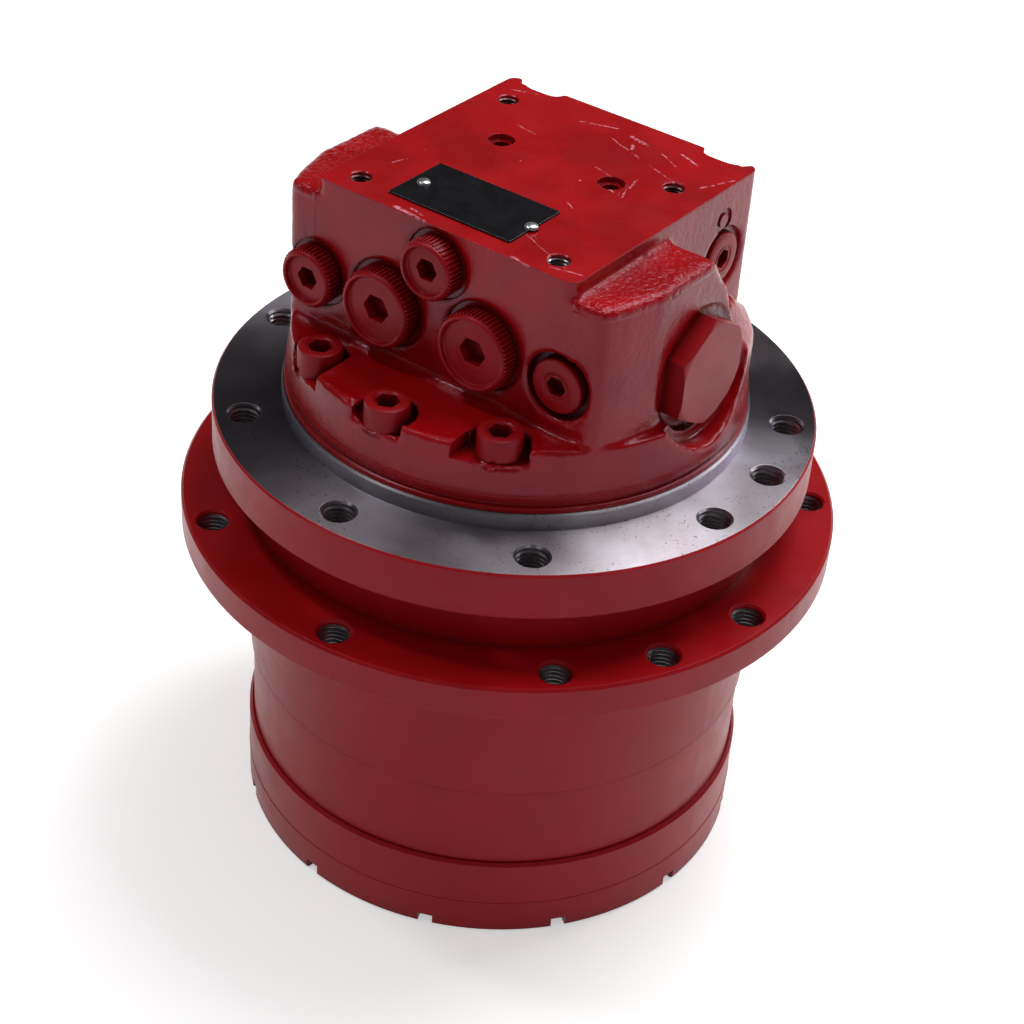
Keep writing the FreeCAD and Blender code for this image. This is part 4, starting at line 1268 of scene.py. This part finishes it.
@dataclass
class FrameFlange:
    """The motor casing with its bare flange and tapped holes."""

    circle: float = 105.0
    first: float = -90.0
    top: float = 188.5
    hole: float = 6.0
    thread_length: float = 19.0

    def build(self) -> None:
        """Dress the casing and line the frame's tapped holes."""
        finish_node("motor_casing", RED_FLANGE)
        Thread(self.hole, M12_PITCH, self.thread_length).line(
            "frame_threads", uneven_holes(self.circle, self.first), self.top - 0.5,
            THREAD_STEEL, Side.MOTOR)


@dataclass
class ValveCasting:
    """The painted casting on top: rough skin, crisp machined faces."""

    voxel: float = 0.95
    top: float = 280.5
    front: float = -52.0
    middle: float = -0.5
    lug_side: float = 57.8
    lug_top: float = 274.5
    ledge: float = 219.0
    screw_floor: float = 213.5
    band_top: float = 201.2
    spool_level: float = 233.5
    cast_mark: Point = (56.5, 44.4, 267.0)
    lift: float = 4.0
    waves: tuple[tuple[str, float, int, float], ...] = (
        ("cast_grain", 2.3, 1, 0.55), ("cast_waves", 9.0, 2, 0.6))
    port_bore: float = 3.4
    port_mouth: float = 5.2
    tapped: float = 4.0
    recesses: tuple[tuple[float, float], ...] = ((-41.0, -32.2), (29.9, 40.0))
    lumps: tuple[tuple[float, float, float, float], ...] = (
        (-15.2, -81.2, 218.0, 2.3), (-17.5, -81.6, 218.2, 1.7),
        (45.2, -77.6, 214.2, 1.5), (27.6, -80.8, 218.4, 1.4))
    foot: Profile = ((0, 190), (66, 190), (66, 195), (88.8, 195), (89, 195.2), (89, 196.9),
                     (88.8, 197.1), (87.6, 197.6), (87.6, 198.8), (88.5, 199.3), (88.7, 199.6),
                     (88.7, 201.2), (0, 201.2))
    facings: list[tuple[float, float, float, float]] = field(default_factory=lambda: [
        (-56.8, 241.2, 13.3, 1.5), (-2.0, 265.7, 13.3, 1.5), (-24.0, 241.2, 17.1, 1.5),
        (19.8, 241.2, 17.1, 1.5), (52.4, 238.2, 13.0, 5.0)])
    top_holes: list[tuple[float, float]] = field(default_factory=lambda: [
        (-46.0, -41.0), (-46.3, 47.5), (41.6, 30.9), (42.4, -41.5)])
    ports: list[tuple[float, float]] = field(default_factory=lambda: [(-27.0, 17.6), (23.0, 17.6)])
    ridges: tuple[tuple[float, tuple[tuple[float, float], ...]], ...] = (
        (219.2, ((-67, -53.2), (-40, -53.9), (-12, -53.4), (10, -54.1), (31, -53.5))),
        (219.0, ((10.8, -84.2), (18, -82.6), (27.8, -79.0))),
        (219.0, ((-30.1, -79.7), (-25.6, -80.1), (-18, -82.1), (-14, -81.9))),
        (219.0, ((46.7, -54.6), (63.3, -54.2), (55.1, -65.3), (46.7, -54.6))),
        (219.0, ((29.3, -68), (29.3, -79))), (219.0, ((-31.6, -57), (-31.6, -78))),
        (213.8, ((-52, -70), (-46.5, -76.0))),
        (213.8, ((-10.9, -84.2), (-7.9, -85.7), (0, -88.0), (6.1, -86.0), (10.9, -84.4))),
        (213.8, ((30.2, -79.0), (35.4, -76.4), (43.3, -76.6), (48.1, -74.3), (52.2, -69.6))))

    def build(self) -> None:
        """Model the casting from the CAD node and machine it."""
        casting = Bench.from_node("valve_block", "valve_casting")
        self._fill(casting)
        Bench.modify(casting, "REMESH", mode="VOXEL", voxel_size=self.voxel * MM,
                     adaptivity=0.0)
        self._soften(casting)
        Bench.modify(casting, "DECIMATE", ratio=0.6)
        self._machine(casting)
        foot = Bench.turned("foot", self.foot, steps=128)
        Bench.joined("valve_casting", [casting, foot])
        self._skin(casting)
        dress(casting, RED_CAST, Side.MOTOR, "valve_block", angle=40)
        self._line_holes()

    def _fill(self, casting: bpy.types.Object) -> None:
        """Lift the top face, fill what is cut again later, add stray lumps and ridges.

        Args:
            casting: the merged copy of the CAD node.
        """
        Bench.choose(casting, "VERT", lambda vertex: vertex.co.z > (self.top - 0.05) * MM)
        bpy.ops.transform.translate(value=(0, 0, self.lift * MM))
        Bench.finish_edit()
        raised = self.top + self.lift
        fills = [Bench.rod(7.0, 240.0, raised, x, y) for x, y in self.ports]
        fills += [Bench.rod(5.5, 255.0, raised, x, y) for x, y in self.top_holes]
        fills.append(Bench.box((-54, -48, 222), (54, 62, self.top)))
        for x, y, z, r in self.lumps:
            fills.append(Bench.rod(r, z - r, z + r * 0.7, x, y, sides=16, top=r * 0.5))
        for level, line in self.ridges:
            fills += [self._ridge(level, *ends) for ends in zip(line, line[1:])]
        Bench.joined("valve_casting", [casting, *fills])

    def _ridge(self, level: float, first: tuple[float, float],
               last: tuple[float, float]) -> bpy.types.Object:
        """Lay one casting ridge between two points.

        Args:
            level: height of its axis.
            first: one end.
            last: the other end.

        Returns:
            The ridge.
        """
        run = Vector((last[0] - first[0], last[1] - first[1], 0.0))
        rod = Bench.rod(0.95, -0.4, run.length + 0.4, sides=12)
        turn = run.to_track_quat("Z", "Y").to_matrix().to_4x4()
        return Bench.settle(rod, placed(*first, level) @ turn)

    def _soften(self, casting: bpy.types.Object) -> None:
        """Round the shoulders more than the rest, then give them their lumpy skin.

        Args:
            casting: the remeshed casting.
        """
        soft = casting.vertex_groups.new(name="soft")
        rough = casting.vertex_groups.new(name="rough")
        for vertex in casting.data.vertices:
            p = vertex.co / MM
            side = abs(p.x - self.middle)
            from_cap = math.hypot(p.y, p.z - self.spool_level)
            if side > 58.5 and p.z > 222 and (from_cap > 31 or side < 70):
                soft.add([vertex.index], 1.0, "REPLACE")
            skin = self._roughness(p)
            if skin > 0.15:
                rough.add([vertex.index], skin, "REPLACE")
        Bench.modify(casting, "SMOOTH", factor=0.5, iterations=4)
        Bench.modify(casting, "SMOOTH", factor=0.5, iterations=40, vertex_group="soft")
        for name, size, depth, strength in self.waves:
            lumps = bpy.data.textures.new(name, "CLOUDS")
            lumps.noise_scale = size * MM
            lumps.noise_depth = depth
            Bench.modify(casting, "DISPLACE", texture=lumps, texture_coords="LOCAL",
                         strength=strength * MM, mid_level=0.5, vertex_group="rough")

    def _machine(self, casting: bpy.types.Object) -> None:
        """Cut the top face, the foot, the facings, the ports and the tapped holes.

        Args:
            casting: the softened casting.
        """
        far, top = 95.0, self.top
        tools = [Bench.box((-far, -far, top), (far, far, top + 12)),
                 Bench.box((-far, -far, 185), (far, far, self.band_top))]
        for x0, x1 in self.recesses:
            tools.append(Bench.box((x0, -far, self.screw_floor), (x1, -71.0, self.ledge + 4)))
        for x, y in self.ports:
            tools.append(Bench.rod(self.port_bore, top - 30, top + 1, x, y, sides=48))
            tools.append(Bench.rod(self.port_mouth, top - 2.2, top + 1, x, y, sides=48))
        for x, y in self.top_holes:
            tools.append(Bench.rod(self.tapped, top - 18, top + 1, x, y, sides=48))
            tools.append(Bench.rod(3.9, top - 0.6, top + 0.1, x, y, top=4.6, sides=48))
        for x, z, radius, depth in self.facings:
            facing = Bench.rod(radius, -depth, 30.0, sides=96)
            tools.append(Bench.settle(facing, placed(x, self.front, z, Facing.FRONT)))
        mark = Bench.turned("mark", [(2.8, -0.9), (5.0, -0.9), (5.6, 3.0), (2.2, 3.0)], 48, True)
        tools.append(Bench.settle(mark, placed(*self.cast_mark, Facing.RIGHT)))
        for tool in tools:
            Bench.boolean(casting, tool, solver="MANIFOLD")

    def _line_holes(self) -> None:
        """Line the four tapped holes of the top face; paint spared the last one."""
        thread, level = Thread(self.tapped, M8_PITCH, 15.0, 0.62), self.top - 0.5
        thread.line("top_threads", self.top_holes[:-1], level, DARK_THREAD, Side.MOTOR)
        thread.line("clean_thread", self.top_holes[-1:], level, THREAD_STEEL, Side.MOTOR)

    def _skin(self, casting: bpy.types.Object) -> None:
        """Write how rough the cast skin is at each point.

        Args:
            casting: the finished casting.
        """
        values = casting.data.attributes.new("cast_skin", "FLOAT", "POINT")
        for i, vertex in enumerate(casting.data.vertices):
            values.data[i].value = self._roughness(vertex.co / MM)

    def _roughness(self, p: Vector) -> float:
        """Return how rough the casting is at a point.

        Args:
            p: the point in millimetres.

        Returns:
            A value from 0 for machined to 1 for rough.
        """
        side = abs(p.x - self.middle)
        if self.top + 3 > p.z > self.top - 0.4 or p.z < self.band_top + 1:
            return 0.0
        if side < 57.5 and p.y < self.front + 2 and p.z > self.ledge + 6:
            return 0.08
        if side > self.lug_side and p.z > self.lug_top - 3.5:
            return 0.8
        if side > self.lug_side and p.z > self.ledge + 4:
            return 0.3
        return 0.12 if p.z < self.ledge - 2 else 0.25


@dataclass
class Plugs:
    """Everything screwed into the valve casting."""

    front: float = -50.5
    small: Cap = field(default_factory=lambda: Cap(11.5, 8.0, 44, places=[
        (-56.8, 241.2), (-2.0, 265.7)]))
    large: Cap = field(default_factory=lambda: Cap(15.3, 10.0, 58, places=[
        (-24.0, 241.2), (19.8, 241.2)]))
    screw: SocketScrew = field(default_factory=lambda: SocketScrew(8.5, 10.0, 8.0))
    gauge: Point = (52.4, -47.0, 238.2)
    side_plug: Point = (52.0, 47.0, 250.0)
    spool_seat: float = 76.5
    middle: float = -0.5
    spool_level: float = 233.5
    screw_seat: float = 213.5
    screw_circle: float = 79.3
    screw_angles: tuple[float, ...] = (-121.5, -90.0, -58.5, 58.5, 90.0, 121.5)

    def build(self) -> None:
        """Model and place all plugs, caps and screws."""
        for name, cap in (("small_relief_cap", self.small), ("large_relief_cap", self.large)):
            self._caps(name, cap)
        plug = FlushPlug().model()
        dress(Bench.copy(plug, placed(*self.gauge, Facing.FRONT), "gauge_plug_front"), RED_PLUG,
              Side.MOTOR, "gauge_plug")
        x, y, z = self.side_plug
        sides = [placed(self.middle + x, y, z, Facing.RIGHT),
                 placed(self.middle - x, y, z, Facing.LEFT)]
        dress(Bench.spread("side_plug_pair", plug, sides), RED_PLUG, Side.MOTOR, "side_plugs")
        hexagon = HexCap().model()
        for name, facing, sign in (("right", Facing.RIGHT, 1), ("left", Facing.LEFT, -1)):
            seat = placed(self.middle + sign * self.spool_seat, 0, self.spool_level, facing)
            dress(Bench.copy(hexagon, seat, "hexagon_cap_" + name), RED_PLUG, Side.MOTOR,
                  "spool_cap_" + name, angle=25)
        bpy.data.objects.remove(hexagon)
        seats = [placed(*polar(self.screw_circle, a), self.screw_seat)
                 for a in self.screw_angles]
        dress(Bench.spread("block_screw_heads", self.screw.model(), seats), RED_PLUG,
              Side.MOTOR, "block_screws")

    def _caps(self, name: str, cap: Cap) -> None:
        """Place one size of relief cap.

        Args:
            name: name of one cap.
            cap: the cap, with its places.
        """
        seats = [placed(x, self.front, z, Facing.FRONT) for x, z in cap.places]
        dress(Bench.spread(name + "_pair", cap.model(), seats), RED_PLUG, Side.MOTOR, name + "s")


@dataclass
class NamePlate:
    """The bare black plate with its two rivets."""

    centre: tuple[float, float] = (-4.0, -29.0)
    size: tuple[float, float] = (54.0, 30.0)
    level: float = 280.5
    thickness: float = 0.8
    rivets: tuple[tuple[float, float], ...] = ((-25.6, -30.5), (22.4, -30.5))

    def build(self) -> None:
        """Model the plate and its rivets."""
        (x, y), (w, d), z = self.centre, self.size, self.level
        plate = Bench.box((x - w / 2, y - d / 2, z), (x + w / 2, y + d / 2, z + self.thickness),
                          "name_plate")
        Bench.bevel(plate, 0.25, 2)
        dress(plate, PLATE_BLACK, Side.MOTOR, "data_plate")
        rivet = Bench.turned("rivet", [
            (0, -1.5), (1.2, -1.5), (1.2, 0.75), (2.6, 0.78), (2.55, 1.15), (2.2, 1.6),
            (1.5, 1.95), (0.7, 2.08), (0, 2.1)], steps=32)
        places = [placed(*at, z) for at in self.rivets]
        dress(Bench.spread("plate_rivet_pair", rivet, places), RIVET_METAL, Side.MOTOR,
              "plate_rivets")


class Inside:
    """Everything inside, which keeps its CAD shape."""

    finishes: dict[str, Finish] = {
        "gear_steel": GEAR_STEEL, "bearing_steel": BEARING_STEEL, "spring_steel": SPRING_STEEL,
        "bronze": BRONZE, "friction_lining": LINING, "rubber": RUBBER, "red_paint": RED_TURNED,
        "plate_black": PLATE_BLACK, "rivet_aluminium": RIVET_METAL}

    def build(self) -> None:
        """Dress every node that has no finish yet, by its slot."""
        for part in frame["record"]["subparts"]:
            if part["node"] not in Palette.dressed:
                finish_node(part["node"], self.finishes[part["material_slot"]])


def finish_node(name: str, finish: Finish) -> None:
    """Give a CAD node's object a finish.

    Args:
        name: the node.
        finish: its finish.
    """
    node = frame["nodes"][name]
    material = Palette.of(finish)
    if not node.material_slots:
        node.data.materials.append(material)
    for holder in node.material_slots:
        holder.link = "OBJECT"
        holder.material = material
    Palette.dressed.add(name)


@dataclass
class Studio:
    """Camera, floor and soft light."""

    view: Matrix = field(default_factory=lambda: Matrix((
        (0.79830886, -0.39052088, 0.45847182, 0.41030372),
        (0.5990415, 0.43644318, -0.67131708, -0.59699562),
        (0.06206643, 0.81056202, 0.58235467, 0.65080889),
        (0.0, 0.0, 0.0, 1.0))))
    lens: float = 78.075
    lamps: tuple[tuple[str, Point, float, float], ...] = (
        ("key_light", (0.1, 0.5, 1.38), 0.7, 12.5), ("back_light", (0.5, 1.15, 1.0), 0.3, 4.6),
        ("glint_light", (-0.55, -0.35, 1.3), 0.15, 3.0))
    aim: Point = (0.0, 0.0, 0.14)
    room: float = 0.37
    walls: tuple[float, float, float, float] = (-0.08, 0.17, 1.0, 0.05)
    floor_glow: tuple[float, float, float, float] = (0.45, 1.1, 0.46, 0.75)

    def build(self) -> None:
        """Set up the camera, the floor, the world and the lamps."""
        self._camera()
        self._floor()
        self._world()
        for lamp in self.lamps:
            self._lamp(*lamp)
        bpy.context.scene.view_settings.view_transform = "Standard"

    def _camera(self) -> None:
        """Stand the camera where the photograph was taken from."""
        data = bpy.data.cameras.new("camera")
        data.lens = self.lens
        data.sensor_width = 36.0
        data.clip_start = 0.01
        camera = bpy.data.objects.new("camera", data)
        camera.matrix_world = self.view
        bpy.context.scene.collection.objects.link(camera)
        bpy.context.scene.camera = camera

    def _lamp(self, name: str, place: Point, size: float, power: float) -> None:
        """Hang a square soft lamp that points at the middle of the drive.

        Args:
            name: name of the lamp.
            place: its place in metres.
            size: side of the square in metres.
            power: its power in watts.
        """
        data = bpy.data.lights.new(name, "AREA")
        data.size = size
        data.energy = power
        lamp = bpy.data.objects.new(name, data)
        ray = Vector(self.aim) - Vector(place)
        turn = ray.to_track_quat("-Z", "Y").to_matrix().to_4x4()
        lamp.matrix_world = Matrix.Translation(place) @ turn
        bpy.context.scene.collection.objects.link(lamp)

    def _floor(self) -> None:
        """Lay a plain pale floor that keeps the shadow and glows more far away."""
        Bench.clear()
        bpy.ops.mesh.primitive_plane_add(size=8.0, location=(0, 0, 0))
        floor = Bench.settle(Bench.named("floor"))
        g = Graph("floor_paper")
        away = g.vectors("LENGTH", g.place, output="Value")
        glow = g.blend(g.ray(*SEEN), 0.0, g.step(away, *self.floor_glow))
        g.shade({"Base Color": (0.8, 0.8, 0.8, 1), "Roughness": 0.9, "Specular IOR Level": 0.0,
                 "Emission Color": (1, 1, 1, 1), "Emission Strength": glow})
        floor.data.materials.append(g.material)

    def _world(self) -> None:
        """Light the room softly, and show its pale walls under a dark ceiling."""
        world = bpy.data.worlds.new("room")
        bpy.context.scene.world = world
        world.use_nodes = True
        g = Nodes(world.node_tree)
        sky = g.tree.nodes["Background"]
        split = g.node("ShaderNodeSeparateXYZ")
        g.feed(split.inputs[0], g.node("ShaderNodeTexCoord").outputs["Generated"])
        shine = g.blend(g.ray(*SEEN), self.room, g.step(split.outputs[2], *self.walls))
        g.feed(sky.inputs["Color"], (1, 1, 1, 1))
        g.feed(sky.inputs["Strength"], g.blend(g.ray("Is Camera Ray"), shine, 1.0))


def main() -> None:
    """Build the studio and every sub-assembly in order."""
    logging.basicConfig(level=logging.INFO, format="%(name)s %(message)s")
    for assembly in (Studio(), Drum(), FrameFlange(), ValveCasting(), Plugs(), NamePlate(),
                     Inside()):
        assembly.build()
        LOG.info("%s done", type(assembly).__name__)


if __name__ == "__main__":
    main()
